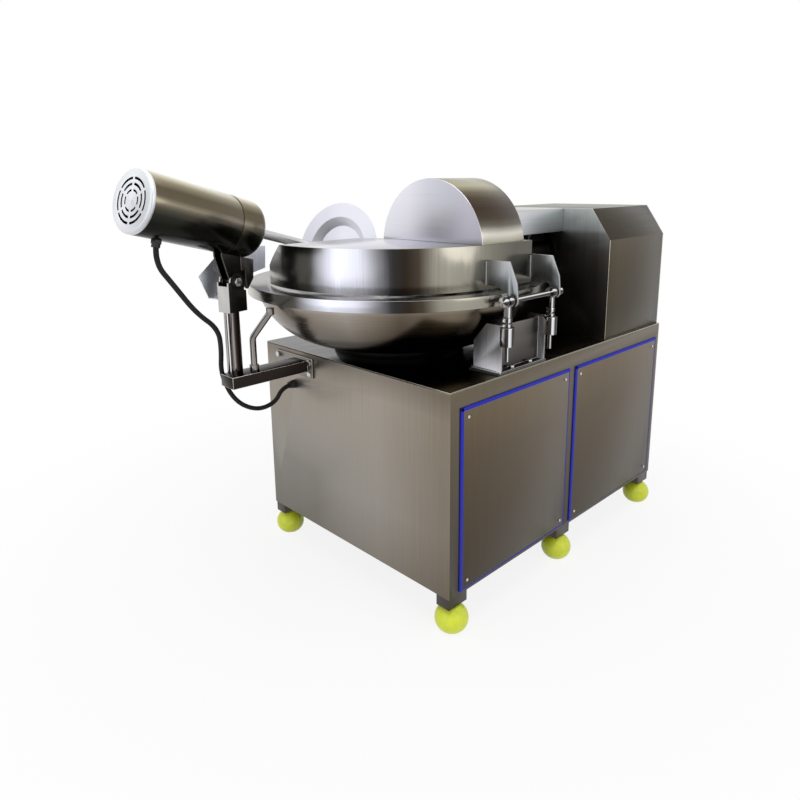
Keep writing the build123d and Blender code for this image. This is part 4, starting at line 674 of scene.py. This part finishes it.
# ---------------------------------------------------------------- post, fork and bar
# The tube's fork tilts on a bolt in the clevis of a round post, which stands on a square bar bolted to
# the cabinet.  A bent steady holds the rim, and all of it is sawn, welded and brushed stainless.
POST_PLACE = (-240, -918, 0)
POST_AXIS = (at(*POST_PLACE), (0, 0, 1), (0, -1, 0))

# Polished round bar, painted in narrow bright and dark bands of painted reflection.
post_steel = brushed_steel(
    "polished_post", [(-180, "#6b6563"), (-90, "#7b7775"), (-28, "#b5b1b0"), (-5, "#4a4442"),
                      (15, "#282222"), (36, "#8c8481"), (46, "#a19996"), (58, "#4e4644"),
                      (72, "#241c1a"), (112, "#2d2523"), (138, "#bfbab7"), (180, "#6b6563")],
    about=POST_AXIS, rough=0.14, streak=0.03)
ARM_HEADING = math.radians(10.5)
ARM_RIGHT = Vector((math.cos(ARM_HEADING), math.sin(ARM_HEADING), 0))
ARM_FRONT = Vector((math.sin(ARM_HEADING), -math.cos(ARM_HEADING), 0))
CLEVIS_BOTTOM, DOUBLER_INSIDE, FLANGE_FRONT = 972, 22, -662

# Sawn and brushed sheet: painted pale as painted light where it faces the light, and near-black as painted
# shade on its right side.
clevis_front = plain_steel("stainless_clevis_front", "#c3c2bf", rough=0.3)
clevis_side = plain_steel("stainless_clevis_side", "#343230", rough=0.3)
post = dress("arm_post", post_steel, edge_mm=0.8)
finish_faces(post, clevis_side, lambda place, normal: place.z > CLEVIS_BOTTOM)
finish_faces(post, clevis_front,
             lambda place, normal: place.z > CLEVIS_BOTTOM and normal.dot(ARM_FRONT) > 0.8)
# The fork is painted near-black as painted shade.
fork_steel = plain_steel("stainless_fork", "#2f2d2a", rough=0.3)
doubler_steel = plain_steel("stainless_doubler", "#5c5958", rough=0.3)
fork = dress("unloader_fork", fork_steel, edge_mm=0.8, edge=edge_highlight_steel)
finish_faces(fork, doubler_steel,
             lambda place, normal: (place - Vector(POST_PLACE)).dot(ARM_RIGHT) > DOUBLER_INSIDE
             and normal.dot(ARM_RIGHT) > 0.8)
bar_steel = plain_steel("stainless_bar", "#2c2725", rough=0.2, lines="Y")
flange_steel = plain_steel("stainless_flange", "#88847e", rough=0.3)
bar = dress("arm_bar", bar_steel, edge_mm=1.2, edge=edge_highlight_steel)
finish_faces(bar, flange_steel, lambda place, normal: place.y > FLANGE_FRONT and abs(normal.y) > 0.9)
dress("pivot_bolt", bright, edge_mm=1.2)
stay_steel = plain_steel("polished_stay", "#8a8684", rough=0.12)
dress("rim_steady", stay_steel, edge_mm=0.8)

# ---------------------------------------------------------------- disc and chute
# The disc lifts the meat out of the bowl and the chute beside it lets it fall into a trolley.  Both are
# pressed or folded sheet, blasted pale and even, and the disc has faint rings.
chute_steel = plain_steel("stainless_chute", "#dfe1e8", rough=0.5)
dress("discharge_chute", chute_steel, edge_mm=0.8)
dress("unloader_shaft", bright, edge_mm=0.5)
# The disc's tone is painted lighter at the top and right and darker at the bottom and left, as painted light.
disc_steel = brushed_steel(
    "stainless_disc",
    [(-180, "#cdced6"), (-90, "#e6e6f0"), (0, "#e8e8f2"), (90, "#cfd0d5"), (180, "#cdced6")],
    about=ARM_AXIS, lines="round", rough=0.4, streak=0.03)
dress("unloader_disc", disc_steel, smooth=12)
